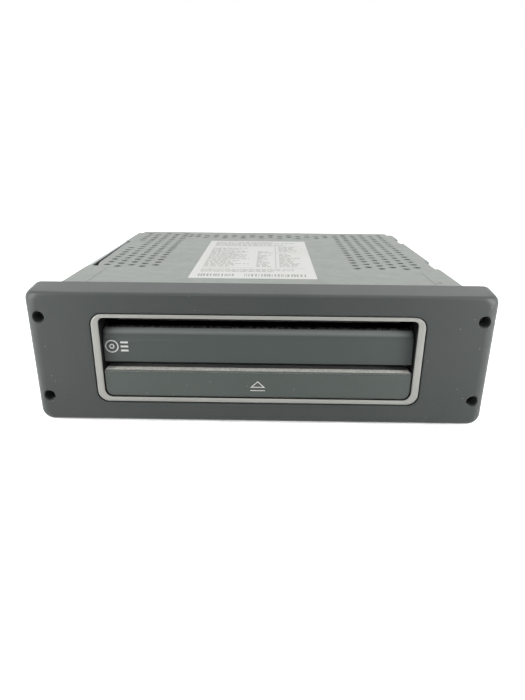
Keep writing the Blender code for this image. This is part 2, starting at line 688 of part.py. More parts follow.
def front_fascia():
    """Hollow moulding with soft side edges, four screw bosses, ribs and two clips."""
    shape = bmesh.new()
    depths = [FASCIA_TOP_ROUND * share for share in FASCIA_TOP_ROUND_SHARES]
    depths += [FASCIA_SIDE_ROUND * share for share in FASCIA_SIDE_ROUND_SHARES]
    depths.append(FASCIA_DEPTH)
    add_rings(shape, fascia_rings(depths, 0.0))
    fascia = finish("front_fascia", shape, charcoal_plastic(), smooth=30.0)

    hollow = bmesh.new()
    depths = (FASCIA_WALL, FASCIA_SIDE_ROUND, FASCIA_DEPTH + CUT_OVERRUN)
    add_rings(hollow, fascia_rings(depths, FASCIA_WALL))
    cut(fascia, hollow, "fascia_hollow")

    bosses = bmesh.new()
    boss_front = FRONT + FASCIA_WALL - JOIN_OVERLAP
    for x, z in screw_places():
        add_prism(bosses, circle((x, z), SCREW_BOSS / 2, ROUND_STEPS), "Y", boss_front, FASCIA_BACK)
    join(fascia, bosses, "fascia_bosses")

    collar = bmesh.new()
    collar_half = WINDOW_HALF + RING_SKIRT + SEAT_GAP + FASCIA_RIB
    collar_bottom = WINDOW_BOTTOM - RING_SKIRT - SEAT_GAP - FASCIA_RIB
    collar_top = WINDOW_TOP + RING_SKIRT + SEAT_GAP + FASCIA_RIB
    collar_corner = WINDOW_CORNER + RING_SKIRT + FASCIA_RIB
    outline = rounded_outline(collar_half, collar_bottom, collar_top, collar_corner, WINDOW_OFFSET)
    add_prism(collar, outline, "Y", boss_front, FRONT + RING_DEPTH)
    join(fascia, collar, "fascia_collar")

    ribs = bmesh.new()
    rib_inner = collar_half - FASCIA_RIB / 2
    rib_outer = FASCIA_WIDTH / 2 - FASCIA_WALL + JOIN_OVERLAP
    rib_back = FRONT + RING_DEPTH - FASCIA_RIB
    for side in (-1, 1):
        across = sorted((WINDOW_OFFSET + side * rib_inner, side * rib_outer))
        for share in FASCIA_RIB_SHARES:
            low = FASCIA_HEIGHT * share - FASCIA_RIB / 2
            add_box(ribs, across, (boss_front, rib_back), (low, low + FASCIA_RIB))
    join(fascia, ribs, "fascia_ribs")

    for side, label in ((-1, "left"), (1, "right")):
        clip = bmesh.new()
        outer = WALL_INSIDE - SEAT_GAP
        inner = outer - CLIP_THICKNESS
        tip = FASCIA_BACK + CLIP_REACH
        hook = CLIP_HOOK + CLIP_THICKNESS
        outline = [(side * inner, boss_front), (side * outer, boss_front), (side * outer, tip - hook),
                   (side * (outer + CLIP_HOOK), tip - hook), (side * outer, tip), (side * inner, tip)]
        add_prism(clip, outline, "Z", CLIP_BOTTOM, CLIP_BOTTOM + CLIP_HEIGHT)
        join(fascia, clip, "fascia_clip_" + label)

    seat = bmesh.new()
    seat_back = FRONT + RING_FLANGE + SEAT_GAP - RING_PROUD
    bottom = RING_BOTTOM - SEAT_GAP
    top = RING_TOP + SEAT_GAP
    outline = rounded_outline(RING_HALF + SEAT_GAP, bottom, top, RING_CORNER, WINDOW_OFFSET)
    add_prism(seat, outline, "Y", FRONT - CUT_OVERRUN, seat_back)
    cut(fascia, seat, "ring_seat")

    window = bmesh.new()
    grow = RING_SKIRT + SEAT_GAP
    bottom = WINDOW_BOTTOM - grow
    top = WINDOW_TOP + grow
    outline = rounded_outline(WINDOW_HALF + grow, bottom, top, WINDOW_CORNER + grow, WINDOW_OFFSET)
    add_prism(window, outline, "Y", FRONT - CUT_OVERRUN, FASCIA_BACK + CUT_OVERRUN)
    cut(fascia, window, "fascia_window")

    for number, (x, z) in enumerate(screw_places(), start=1):
        hole = bmesh.new()
        recess_end = FRONT + SCREW_RECESS_DEPTH
        taper_end = recess_end + (SCREW_RECESS - SCREW_BORE) / 2
        profile = [(SCREW_RECESS / 2, FRONT - CUT_OVERRUN), (SCREW_RECESS / 2, recess_end),
                   (SCREW_BORE / 2, taper_end), (SCREW_BORE / 2, FASCIA_BACK + CUT_OVERRUN)]
        add_turned(hole, profile, (x, z), "Y")
        cut(fascia, hole, "fascia_screw_hole_%d" % number)
    return fascia


def trim_ring():
    """Plated frame: a flat flange in the fascia's step and a skirt through the window."""
    shape = bmesh.new()
    front = FRONT - RING_PROUD
    flange_back = front + RING_FLANGE
    skirt_back = FRONT + RING_DEPTH
    skirt_side = RING_SIDE_BAND - RING_SKIRT
    skirt_flat = RING_FLAT_BAND - RING_SKIRT
    sections = ((0.0, 0.0, flange_back),
                (0.0, 0.0, front + RING_CHAMFER),
                (RING_CHAMFER, RING_CHAMFER, front),
                (RING_SIDE_BAND - RING_CHAMFER, RING_FLAT_BAND - RING_CHAMFER, front),
                (RING_SIDE_BAND, RING_FLAT_BAND, front + RING_CHAMFER),
                (RING_SIDE_BAND, RING_FLAT_BAND, skirt_back),
                (skirt_side, skirt_flat, skirt_back),
                (skirt_side, skirt_flat, flange_back))
    rings = []
    for side, flat, depth in sections:
        bottom = RING_BOTTOM + flat
        top = RING_TOP - flat
        outline = rounded_outline(RING_HALF - side, bottom, top, RING_CORNER - flat, WINDOW_OFFSET)
        rings.append([Vector((x, depth, z)) for x, z in outline])
    add_rings(shape, rings, closed=True)
    return finish("trim_ring", shape, satin_silver(), smooth=30.0)


def slot_panel():
    """Dark insert: back plate with the disc slot, and the round-topped panel below the slot."""
    shape = bmesh.new()
    half = WINDOW_HALF - SEAT_GAP
    front = FRONT + PANEL_RECESS
    arc_y = front + PANEL_TOP_ROUND
    arc_z = SLOT_BOTTOM - PANEL_TOP_ROUND
    outline = [(PLATE_BACK, PANEL_BOTTOM), (front, PANEL_BOTTOM)]
    for index in range(PANEL_ROUND_STEPS + 1):
        angle = math.radians(90.0 * index / PANEL_ROUND_STEPS)
        y = arc_y - PANEL_TOP_ROUND * math.cos(angle)
        outline.append((y, arc_z + PANEL_TOP_ROUND * math.sin(angle)))
    outline.append((PLATE_BACK, SLOT_BOTTOM))
    add_prism(shape, outline, "X", *window_places(half))
    panel = finish("slot_panel", shape, black_plastic(), smooth=30.0)

    plate = bmesh.new()
    plate_half = WINDOW_HALF + RING_SKIRT
    plate_bottom = WINDOW_BOTTOM - RING_SKIRT
    plate_top = WINDOW_TOP + RING_SKIRT
    outline = rounded_outline(plate_half, plate_bottom, plate_top, WINDOW_CORNER, WINDOW_OFFSET)
    add_prism(plate, outline, "Y", PLATE_FRONT, PLATE_BACK + JOIN_OVERLAP)
    join(panel, plate, "panel_plate")

    pocket = bmesh.new()
    through = PLATE_BACK + CUT_OVERRUN
    add_box(pocket, window_places(half - PANEL_SHELL), (front + PANEL_SHELL, through),
            (PANEL_BOTTOM + PANEL_SHELL, arc_z))
    cut(panel, pocket, "panel_pocket")

    slot = bmesh.new()
    add_box(slot, window_places(SLOT_WIDTH / 2), (FRONT, through), (SLOT_BOTTOM, SLOT_TOP))
    cut(panel, slot, "disc_slot")

    lightening = bmesh.new()
    window_half = SWITCH_X - BUTTON_POST - BUTTON_WINDOW_BORDER
    add_box(lightening, window_places(window_half), (FRONT, through),
            (BUTTON_BOTTOM + BUTTON_WINDOW_BORDER, BUTTON_TOP - BUTTON_WINDOW_BORDER))
    cut(panel, lightening, "plate_window")

    for side, label in ((-1, "left"), (1, "right")):
        hole = bmesh.new()
        centre = (WINDOW_OFFSET + side * SWITCH_X, BUTTON_MIDDLE)
        outline = circle(centre, BUTTON_POST / 2 + RUNNING_GAP, ROUND_STEPS)
        add_prism(hole, outline, "Y", PLATE_FRONT - CUT_OVERRUN, through)
        cut(panel, hole, "post_hole_" + label)
        boss = bmesh.new()
        centre = (WINDOW_OFFSET + side * BOARD_BOSS_X, BUTTON_MIDDLE)
        outline = circle(centre, BOARD_BOSS / 2, ROUND_STEPS)
        add_prism(boss, outline, "Y", PLATE_BACK - JOIN_OVERLAP, SWITCH_BOARD_FRONT - SEAT_GAP)
        join(panel, boss, "board_boss_" + label)
    return panel


def slot_felt():
    """Dust felt glued round the slot behind the panel."""
    shape = bmesh.new()
    half = SLOT_WIDTH / 2
    back = FELT_FRONT + FELT_THICKNESS
    add_box(shape, window_places(half + FELT_BORDER), (FELT_FRONT, back),
            (SLOT_BOTTOM - FELT_BORDER, SLOT_TOP + FELT_BORDER))
    pad = finish("slot_felt", shape, felt())
    mouth = bmesh.new()
    add_box(mouth, window_places(half - FELT_OVERHANG), (FRONT, back + CUT_OVERRUN),
            (SLOT_BOTTOM + FELT_OVERHANG, SLOT_TOP - FELT_OVERHANG))
    return cut(pad, mouth, "felt_mouth")


def button_outline(inset):
    """Button seen from the front: sharp upper corners and round lower ones."""
    left, right = window_places(WINDOW_HALF - RUNNING_GAP - inset)
    bottom = BUTTON_BOTTOM + inset
    top = BUTTON_TOP - inset
    radius = BUTTON_CORNER - inset
    points = [(right, top), (left, top)]
    points += quarter_arc((left + radius, bottom + radius), radius, 180.0)
    points += quarter_arc((right - radius, bottom + radius), radius, 270.0)
    return points


def eject_button():
    """Full-width hollow button bar with two guide posts that press the switches."""
    shape = bmesh.new()
    rings = []
    sections = ((BUTTON_EDGE, BUTTON_FRONT), (0.0, BUTTON_FRONT + BUTTON_EDGE), (0.0, BUTTON_BACK))
    for inset, depth in sections:
        rings.append([Vector((x, depth, z)) for x, z in button_outline(inset)])
    add_rings(shape, rings)
    origin = (WINDOW_OFFSET, BUTTON_FRONT, BUTTON_MIDDLE)
    button = finish("eject_button", shape, charcoal_plastic(), origin, smooth=30.0)

    hollow = bmesh.new()
    wall_back = BUTTON_FRONT + BUTTON_WALL
    add_prism(hollow, button_outline(BUTTON_WALL), "Y", wall_back, BUTTON_BACK + CUT_OVERRUN)
    cut(button, hollow, "button_hollow")

    posts = bmesh.new()
    post_end = SWITCH_FRONT - BUTTON_TRAVEL - SEAT_GAP
    for side in (-1, 1):
        centre = (WINDOW_OFFSET + side * SWITCH_X, BUTTON_MIDDLE)
        outline = circle(centre, BUTTON_POST / 2, ROUND_STEPS)
        add_prism(posts, outline, "Y", wall_back - JOIN_OVERLAP, post_end)
    join(button, posts, "button_posts")

    ribs = bmesh.new()
    half = WINDOW_HALF - RUNNING_GAP
    reach = BUTTON_WALL - JOIN_OVERLAP
    for share in BUTTON_RIB_SHARES:
        left = WINDOW_OFFSET + half * share - FASCIA_RIB / 2
        add_box(ribs, (left, left + FASCIA_RIB), (BUTTON_FRONT + reach, BUTTON_BACK - BUTTON_WALL),
                (BUTTON_BOTTOM + reach, BUTTON_TOP - reach))
    return join(button, ribs, "button_ribs")


def switch_board():
    """Narrow board that carries the two switches behind the button."""
    shape = bmesh.new()
    half = SWITCH_BOARD_WIDTH / 2
    bottom = BUTTON_MIDDLE - SWITCH_BOARD_HEIGHT / 2
    add_box(shape, window_places(half), (SWITCH_BOARD_FRONT, SWITCH_BOARD_BACK),
            (bottom, bottom + SWITCH_BOARD_HEIGHT))
    board = finish("switch_board", shape, board_green())
    holes = bmesh.new()
    for side in (-1, 1):
        centre = (WINDOW_OFFSET + side * BOARD_BOSS_X, BUTTON_MIDDLE)
        outline = circle(centre, SCREW_BORE / 2, SMALL_STEPS)
        add_prism(holes, outline, "Y", SWITCH_BOARD_FRONT - CUT_OVERRUN, SWITCH_BOARD_BACK + CUT_OVERRUN)
    return cut(board, holes, "board_screw_holes")


def tact_switches():
    """Two switch bodies with bored faces, each with its own sliding plunger."""
    for side, label in ((-1, "left"), (1, "right")):
        x = WINDOW_OFFSET + side * SWITCH_X
        half = SWITCH_SIDE / 2
        shape = bmesh.new()
        add_box(shape, (x - half, x + half), (SWITCH_FRONT, SWITCH_BACK),
                (BUTTON_MIDDLE - half, BUTTON_MIDDLE + half))
        body = finish("tact_switch_" + label, shape, black_plastic())
        bore = bmesh.new()
        depth = SWITCH_BODY * PLUNGER_BORE_SHARE
        outline = circle((x, BUTTON_MIDDLE), PLUNGER / 2 + RUNNING_GAP, SMALL_STEPS)
        add_prism(bore, outline, "Y", SWITCH_FRONT - CUT_OVERRUN, SWITCH_FRONT + depth)
        cut(body, bore, "switch_bore_" + label)
        plunger = bmesh.new()
        front = SWITCH_FRONT - BUTTON_TRAVEL
        back = SWITCH_FRONT + depth - BUTTON_TRAVEL - SEAT_GAP
        add_prism(plunger, circle((x, BUTTON_MIDDLE), PLUNGER / 2, SMALL_STEPS), "Y", front, back)
        finish("switch_plunger_" + label, plunger, white_plastic(), (x, front, BUTTON_MIDDLE), smooth=30.0)


def side_screw_places():
    """Front and rear screw holes of a side wall as (y, z)."""
    for station in (SIDE_SCREW_FRONT, SIDE_SCREW_REAR):
        for height in (SIDE_SCREW_HEIGHT, SIDE_SCREW_HEIGHT + SIDE_SCREW_PITCH):
            yield CASE_FRONT + station, CASE_DROP + height


def standoff_places():
    """Four standoffs under the corners of the main board as (x, y)."""
    half = MAIN_BOARD_WIDTH / 2 - STANDOFF_INSET
    for x in (-half, half):
        for y in (BOARD_FRONT + STANDOFF_INSET, BOARD_BACK - STANDOFF_INSET):
            yield x, y


def chassis_tray():
    """Folded steel tray: floor, side walls, windowed front and rear walls, standoffs."""
    shape = bmesh.new()
    add_box(shape, (-CASE_HALF, CASE_HALF), (CASE_FRONT, CASE_BACK), (CASE_DROP, WALL_TOP))
    tray = finish("chassis_tray", shape, zinc_steel())

    inside = bmesh.new()
    add_box(inside, (-WALL_INSIDE, WALL_INSIDE), (CASE_FRONT + SHEET, CASE_BACK - SHEET),
            (FLOOR_TOP, WALL_TOP + CUT_OVERRUN))
    cut(tray, inside, "tray_inside")

    tongue = bmesh.new()
    run = (CASE_FRONT + COVER_EAR_LENGTH + SEAT_GAP, CASE_FRONT + LEFT_SLIT_END - SEAT_GAP)
    add_box(tongue, (-CASE_HALF, -WALL_INSIDE), run, (WALL_TOP - JOIN_OVERLAP, CASE_TOP))
    join(tray, tongue, "tray_tongue")

    openings = bmesh.new()
    half = FRONT_WINDOW_WIDTH / 2
    front_run = (CASE_FRONT - CUT_OVERRUN, CASE_FRONT + SHEET + CUT_OVERRUN)
    add_box(openings, (-half, half), front_run, (FLOOR_TOP + FRONT_WINDOW_LIP, FRONT_WINDOW_TOP))
    for side in (-1, 1):
        outer = WALL_INSIDE + JOIN_OVERLAP
        inner = outer - CLIP_THICKNESS - CLIP_SLOT_CLEARANCE
        across = sorted((side * inner, side * outer))
        add_box(openings, across, front_run, (CLIP_BOTTOM - SEAT_GAP, CLIP_BOTTOM + CLIP_HEIGHT + SEAT_GAP))
    cut(tray, openings, "tray_front_openings")

    catches = bmesh.new()
    tip = FASCIA_BACK + CLIP_REACH
    run = (tip - CLIP_HOOK - CLIP_THICKNESS - SEAT_GAP, tip + SEAT_GAP)
    for side in (-1, 1):
        across = sorted((side * (WALL_INSIDE - CUT_OVERRUN), side * (CASE_HALF + CUT_OVERRUN)))
        add_box(catches, across, run, (CLIP_BOTTOM - SEAT_GAP, CLIP_BOTTOM + CLIP_HEIGHT + SEAT_GAP))
    for y, z in side_screw_places():
        reach = CASE_HALF + CUT_OVERRUN
        add_prism(catches, circle((y, z), SIDE_SCREW_HOLE / 2, SMALL_STEPS), "X", -reach, reach)
    cut(tray, catches, "tray_side_holes")

    vents = bmesh.new()
    floor_run = (CASE_DROP - CUT_OVERRUN, FLOOR_TOP + CUT_OVERRUN)
    for row in (-1, 1):
        for index in range(FLOOR_SLOT_COUNT):
            x = (index - (FLOOR_SLOT_COUNT - 1) / 2) * FLOOR_SLOT_PITCH
            y = DISC_Y + row * FLOOR_SLOT_ROW
            add_box(vents, (x - FLOOR_SLOT_WIDTH / 2, x + FLOOR_SLOT_WIDTH / 2),
                    (y - FLOOR_SLOT_LENGTH / 2, y + FLOOR_SLOT_LENGTH / 2), floor_run)
    cut(tray, vents, "tray_floor_vents")

    rear = bmesh.new()
    rear_run = (CASE_BACK - SHEET - CUT_OVERRUN, CASE_BACK + CUT_OVERRUN)
    half = CONNECTOR_WIDTH / 2 + SEAT_GAP
    add_box(rear, (CONNECTOR_X - half, CONNECTOR_X + half), rear_run,
            (ON_BOARD - SEAT_GAP, ON_BOARD + CONNECTOR_HEIGHT + SEAT_GAP))
    centre = (ANTENNA_X, CASE_DROP + ANTENNA_HEIGHT)
    add_prism(rear, circle(centre, ANTENNA_DIAMETER / 2 + SEAT_GAP, ROUND_STEPS), "Y", *rear_run)
    centre = (STUD_X, CASE_DROP + STUD_HEIGHT)
    add_prism(rear, circle(centre, STUD_DIAMETER / 2 + SEAT_GAP, ROUND_STEPS), "Y", *rear_run)
    cut(tray, rear, "tray_rear_openings")

    standoffs = bmesh.new()
    for place in standoff_places():
        profile = [(STANDOFF / 2, FLOOR_TOP - JOIN_OVERLAP), (STANDOFF_TOP / 2, BOARD_UNDER - SEAT_GAP)]
        add_turned(standoffs, profile, place, "Z", SMALL_STEPS)
    return join(tray, standoffs, "tray_standoffs")


def cover_outline():
    """Cover seen from above: wide front ears, stepped side edges and reliefs."""
    ear = CASE_HALF + COVER_EAR_OUT
    inner = CASE_HALF - COVER_EDGE_INSET
    front = CASE_FRONT + SEAT_GAP
    back = CASE_BACK + SEAT_GAP + SHEET
    ear_end = CASE_FRONT + COVER_EAR_LENGTH
    left_slit = CASE_FRONT + LEFT_SLIT_END
    right_tab = CASE_FRONT + RIGHT_TAB_START
    right_end = CASE_FRONT + RIGHT_TAB_END
    right_rear = CASE_FRONT + RIGHT_REAR_TAB_START
    rear_edge = ear - COVER_REAR_INSET
    shoulder = CASE_BACK - COVER_REAR_INSET
    return [(-ear, front), (ear, front), (ear, ear_end), (inner, ear_end), (inner, right_tab),
            (ear, right_tab), (ear, right_end), (inner, right_end), (inner, right_rear), (ear, right_rear),
            (ear, shoulder), (rear_edge, shoulder), (rear_edge, back), (-rear_edge, back),
            (-rear_edge, shoulder), (-ear, shoulder), (-ear, left_slit), (-inner, left_slit),
            (-inner, ear_end), (-ear, ear_end)]


def cover_flanges():
    """Folded-down edges as (x range, y range, drop)."""
    ear = CASE_HALF + COVER_EAR_OUT
    front = CASE_FRONT + SEAT_GAP
    rear = CASE_BACK - COVER_REAR_INSET
    ear_end = CASE_FRONT + COVER_EAR_LENGTH
    yield (-ear, SHEET - ear), (front, ear_end), COVER_EAR_DROP
    yield (ear - SHEET, ear), (front, ear_end), COVER_EAR_DROP
    yield (-ear, SHEET - ear), (CASE_FRONT + LEFT_SLIT_END, rear), COVER_TAB_DROP
    yield (ear - SHEET, ear), (CASE_FRONT + RIGHT_TAB_START, CASE_FRONT + RIGHT_TAB_END), COVER_TAB_DROP
    yield (ear - SHEET, ear), (CASE_FRONT + RIGHT_REAR_TAB_START, rear), COVER_TAB_DROP
    across = (COVER_REAR_INSET - ear, ear - COVER_REAR_INSET)
    back = CASE_BACK + SEAT_GAP
    yield across, (back, back + SHEET), COVER_REAR_DROP


def perforation_places():
    """Centres of the cover's vent holes: a staggered field each side and a rear band."""
    start = CASE_FRONT + FIELD_START
    fields = ((LEFT_FIELD_X, LEFT_FIELD_COLUMNS, 1), (RIGHT_FIELD_X, RIGHT_FIELD_COLUMNS, 0))
    for first, columns, phase in fields:
        for column in range(columns):
            shift = HOLE_PITCH_Y / 2 * ((column + phase) % 2)
            for row in range(FIELD_ROWS):
                yield first + column * HOLE_PITCH_X, start + shift + row * HOLE_PITCH_Y
    for column in range(REAR_BAND_COLUMNS):
        shift = HOLE_PITCH_Y / 2 * (column % 2)
        for row in range(REAR_BAND_ROWS):
            back = REAR_BAND_BACK + shift + row * HOLE_PITCH_Y
            yield REAR_BAND_X + column * HOLE_PITCH_X, CASE_BACK - back


def top_cover():
    """Perforated steel cover with folded edges over the tray's walls."""
    shape = bmesh.new()
    add_prism(shape, cover_outline(), "Z", COVER_UNDER, CASE_TOP)
    cover = finish("top_cover", shape, zinc_steel())
    for number, (across, along, drop) in enumerate(cover_flanges(), start=1):
        flange = bmesh.new()
        add_box(flange, across, along, (CASE_TOP - drop, CASE_TOP - JOIN_OVERLAP))
        join(cover, flange, "cover_flange_%d" % number)
    holes = bmesh.new()
    run = (COVER_UNDER - CUT_OVERRUN, CASE_TOP + CUT_OVERRUN)
    for place in perforation_places():
        add_prism(holes, circle(place, HOLE_DIAMETER / 2, HOLE_SIDES), "Z", *run)
    key = CASE_FRONT + KEY_SLOT_BACK
    add_box(holes, (KEY_SLOT_X - KEY_SLOT_LENGTH / 2, KEY_SLOT_X + KEY_SLOT_LENGTH / 2),
            (key - KEY_SLOT_WIDTH / 2, key + KEY_SLOT_WIDTH / 2), run)
    ear = CASE_HALF + COVER_EAR_OUT
    notch = CASE_FRONT + EAR_NOTCH_BACK
    add_box(holes, (-ear - CUT_OVERRUN, EAR_NOTCH_DEPTH - ear), (notch, notch + EAR_NOTCH_LENGTH),
            (CASE_TOP - EAR_NOTCH_DROP, CASE_TOP + CUT_OVERRUN))
    return cut(cover, holes, "cover_holes")


def main_board():
    """Main circuit board on the tray's standoffs."""
    shape = bmesh.new()
    half = MAIN_BOARD_WIDTH / 2
    add_box(shape, (-half, half), (BOARD_FRONT, BOARD_BACK), (BOARD_UNDER, BOARD_TOP))
    board = finish("main_board", shape, board_green())
    holes = bmesh.new()
    for place in standoff_places():
        outline = circle(place, SCREW_BORE / 2, SMALL_STEPS)
        add_prism(holes, outline, "Z", BOARD_UNDER - CUT_OVERRUN, BOARD_TOP + CUT_OVERRUN)
    return cut(board, holes, "main_board_holes")


def filter_capacitors():
    """Row of electrolytic cans, each with a crimped groove near its foot."""
    radius = CAPACITOR_DIAMETER / 2
    top = ON_BOARD + CAPACITOR_HEIGHT
    below, waist, above = [ON_BOARD + CAPACITOR_HEIGHT * share for share in CAPACITOR_GROOVE_SHARES]
    profile = [(radius, ON_BOARD), (radius, below), (radius - CAPACITOR_GROOVE, waist), (radius, above),
               (radius, top - CAPACITOR_EDGE), (radius - CAPACITOR_EDGE, top)]
    for index in range(CAPACITOR_COUNT):
        y = CASE_FRONT + CAPACITOR_FRONT + index * CAPACITOR_PITCH
        shape = bmesh.new()
        add_turned(shape, profile, (CAPACITOR_X, y), "Z")
        finish("filter_capacitor_%d" % (index + 1), shape, black_plastic(), smooth=30.0)


def block_on_board(name, middle, width, along, height, skin):
    """Plain block that sits on the main board."""
    shape = bmesh.new()
    add_box(shape, (middle - width / 2, middle + width / 2), along, (ON_BOARD, ON_BOARD + height))
    return finish(name, shape, skin)


def board_blocks():
    """Tuner can, control chip, and the amplifier that sits against the rear wall."""
    start = CASE_BACK - TUNER_BACK
    run = (start, start + TUNER_LENGTH)
    block_on_board("tuner_module", TUNER_X, TUNER_WIDTH, run, TUNER_HEIGHT, bright_steel())
    start = CASE_FRONT + CHIP_FRONT
    run = (start, start + CHIP_SIDE)
    block_on_board("control_chip", CHIP_X, CHIP_SIDE, run, CHIP_HEIGHT, black_plastic())
    wall = CASE_BACK - SHEET - SEAT_GAP
    run = (wall - AMPLIFIER_DEPTH, wall)
    block_on_board("power_amplifier", HEAT_SINK_X, AMPLIFIER_WIDTH, run, AMPLIFIER_HEIGHT, black_plastic())


def heat_sink():
    """Extruded finned block on the outside of the rear wall."""
    left = HEAT_SINK_LEFT
    foot = CASE_BACK + SEAT_GAP
    root = foot + HEAT_SINK_BASE
    tip = root + HEAT_SINK_FIN_DEPTH
    pitch = (HEAT_SINK_WIDTH - HEAT_SINK_FIN) / (HEAT_SINK_FINS - 1)
    outline = [(left, foot), (left + HEAT_SINK_WIDTH, foot)]
    for index in reversed(range(HEAT_SINK_FINS)):
        start = left + index * pitch
        end = start + HEAT_SINK_FIN
        outline += [(end, root), (end, tip), (start, tip), (start, root)]
    shape = bmesh.new()
    bottom = CASE_DROP + HEAT_SINK_BOTTOM
    add_prism(shape, outline, "Z", bottom, bottom + HEAT_SINK_HEIGHT)
    return finish("heat_sink", shape, cast_aluminium())


def main_connector():
    """Two-bay plug socket at the rear with a row pair of pins in each bay."""
    half = CONNECTOR_WIDTH / 2
    front = CASE_BACK + CONNECTOR_OUT - CONNECTOR_DEPTH
    back = CASE_BACK + CONNECTOR_OUT
    bottom = ON_BOARD
    top = ON_BOARD + CONNECTOR_HEIGHT
    shape = bmesh.new()
    add_box(shape, (CONNECTOR_X - half, CONNECTOR_X + half), (front, back), (bottom, top))
    housing = finish("main_connector", shape, black_plastic())
    bays = bmesh.new()
    floor = front + CONNECTOR_FLOOR
    for side in (-1, 1):
        near = CONNECTOR_WALL / 2
        far = half - CONNECTOR_WALL
        across = sorted((CONNECTOR_X + side * near, CONNECTOR_X + side * far))
        add_box(bays, across, (floor, back + CUT_OVERRUN), (bottom + CONNECTOR_WALL, top - CONNECTOR_WALL))
    cut(housing, bays, "connector_bays")
    pins = bmesh.new()
    pitch = (CONNECTOR_WIDTH - 4 * CONNECTOR_WALL) / PIN_COLUMNS
    for column in range(PIN_COLUMNS):
        x = CONNECTOR_X + (column - (PIN_COLUMNS - 1) / 2) * pitch
        across = (x - PIN_SIZE / 2, x + PIN_SIZE / 2)
        for z in (bottom + 2 * CONNECTOR_WALL, top - 2 * CONNECTOR_WALL - PIN_SIZE):
            add_box(pins, across, (floor - JOIN_OVERLAP, floor + PIN_LENGTH), (z, z + PIN_SIZE))
    return join(housing, pins, "connector_pins")


def antenna_socket():
    """Turned aerial socket with a bore and a centre pin."""
    centre = (ANTENNA_X, CASE_DROP + ANTENNA_HEIGHT)
    back = CASE_BACK + ANTENNA_OUT
    front = back - ANTENNA_LENGTH
    inside = CASE_BACK - SHEET - SEAT_GAP
    shape = bmesh.new()
    profile = [(ANTENNA_FLANGE / 2, front), (ANTENNA_FLANGE / 2, inside), (ANTENNA_DIAMETER / 2, inside),
               (ANTENNA_DIAMETER / 2, back)]
    add_turned(shape, profile, centre, "Y")
    socket = finish("antenna_socket", shape, bright_steel(), smooth=30.0)
    bore = bmesh.new()
    floor = front + ANTENNA_FLOOR
    add_prism(bore, circle(centre, ANTENNA_BORE / 2, ROUND_STEPS), "Y", floor, back + CUT_OVERRUN)
    cut(socket, bore, "antenna_bore")
    pin = bmesh.new()
    outline = circle(centre, ANTENNA_PIN / 2, SMALL_STEPS)
    add_prism(pin, outline, "Y", floor - JOIN_OVERLAP, floor + ANTENNA_PIN_LENGTH)
    return join(socket, pin, "antenna_pin")


def rear_stud():
    """Support stud through the rear wall, with a collar on each side of the sheet."""
    centre = (STUD_X, CASE_DROP + STUD_HEIGHT)
    inner = CASE_BACK - SHEET - SEAT_GAP
    outer = CASE_BACK + SEAT_GAP
    collar = STUD_COLLAR / 2
    shank = STUD_DIAMETER / 2
    collar_back = outer + STUD_COLLAR_THICKNESS
    end = outer + STUD_LENGTH
    shape = bmesh.new()
    profile = [(collar, inner - STUD_COLLAR_THICKNESS), (collar, inner), (shank, inner), (shank, outer),
               (collar, outer), (collar, collar_back), (shank, collar_back), (shank, end),
               (STUD_TIP / 2, end + STUD_POINT)]
    add_turned(shape, profile, centre, "Y")
    return finish("rear_stud", shape, bright_steel(), smooth=30.0)


def ear_stations():
    """Front and rear Y of the deck's fixing ears."""
    return CASE_FRONT + DECK_EAR_FRONT, CASE_FRONT + DECK_EAR_REAR


def ear_x():
    """X of the deck's fixing ears, at the middle of each ear."""
    return DECK_HALF + DECK_EAR_WIDTH / 2


def deck_brackets():
    """Folded steel rails on the floor that carry the deck's dampers."""
    top = DECK_UNDER - SEAT_GAP - DAMPER_HEIGHT - SEAT_GAP
    top_under = top - BRACKET_SHEET
    foot = FLOOR_TOP + SEAT_GAP
    foot_top = foot + BRACKET_SHEET
    front, rear = ear_stations()
    margin = DECK_EAR_LENGTH / 2 + BRACKET_MARGIN
    half = DECK_EAR_WIDTH / 2 - BRACKET_SHEET
    web = ear_x() + half
    web_inside = web - BRACKET_SHEET
    shelf = ear_x() - half + BRACKET_SHEET
    toe = web - BRACKET_FOOT
    outline = [(web, foot), (web, top), (shelf, top), (shelf, top_under), (web_inside, top_under),
               (web_inside, foot_top), (toe, foot_top), (toe, foot)]
    for side, label in ((-1, "left"), (1, "right")):
        shape = bmesh.new()
        mirrored = [(side * x, z) for x, z in outline]
        add_prism(shape, mirrored, "Y", front - margin, rear + margin)
        finish("deck_bracket_" + label, shape, zinc_steel())


def dampers():
    """Four waisted rubber mounts between the rails and the deck's ears."""
    top = DECK_UNDER - SEAT_GAP
    bottom = top - DAMPER_HEIGHT
    number = 0
    for side in (-1, 1):
        for y in ear_stations():
            number += 1
            profile = []
            for share, width in DAMPER_SHARES:
                diameter = DAMPER_WAIST + (DAMPER_DIAMETER - DAMPER_WAIST) * width
                profile.append((diameter / 2, bottom + DAMPER_HEIGHT * share))
            shape = bmesh.new()
            add_turned(shape, profile, (side * ear_x(), y), "Z", SMALL_STEPS)
            finish("damper_%d" % number, shape, rubber(), smooth=30.0)


def flange_outline(back, low):
    """Side flange of the deck seen from the side: tall at the roller, low behind it."""
    front = ROLLER_Y - BEARING_FLANGE / 2 - DECK_SHEET
    top = ROLLER_Z + FLANGE_TOP_ABOVE_SHAFT
    shoulder = ROLLER_Y + BEARING_FLANGE / 2 + DECK_SHEET
    return [(front, DECK_UNDER), (front, top - DECK_SHEET), (front + DECK_SHEET, top),
            (shoulder - DECK_SHEET, top), (shoulder, top - DECK_SHEET), (shoulder + DECK_SHEET, DECK_TOP),
            (back, DECK_TOP), (back, low), (PINION_AXIS[0] - MOTOR_DIAMETER / 2, low), (ROLLER_Y, DECK_UNDER)]


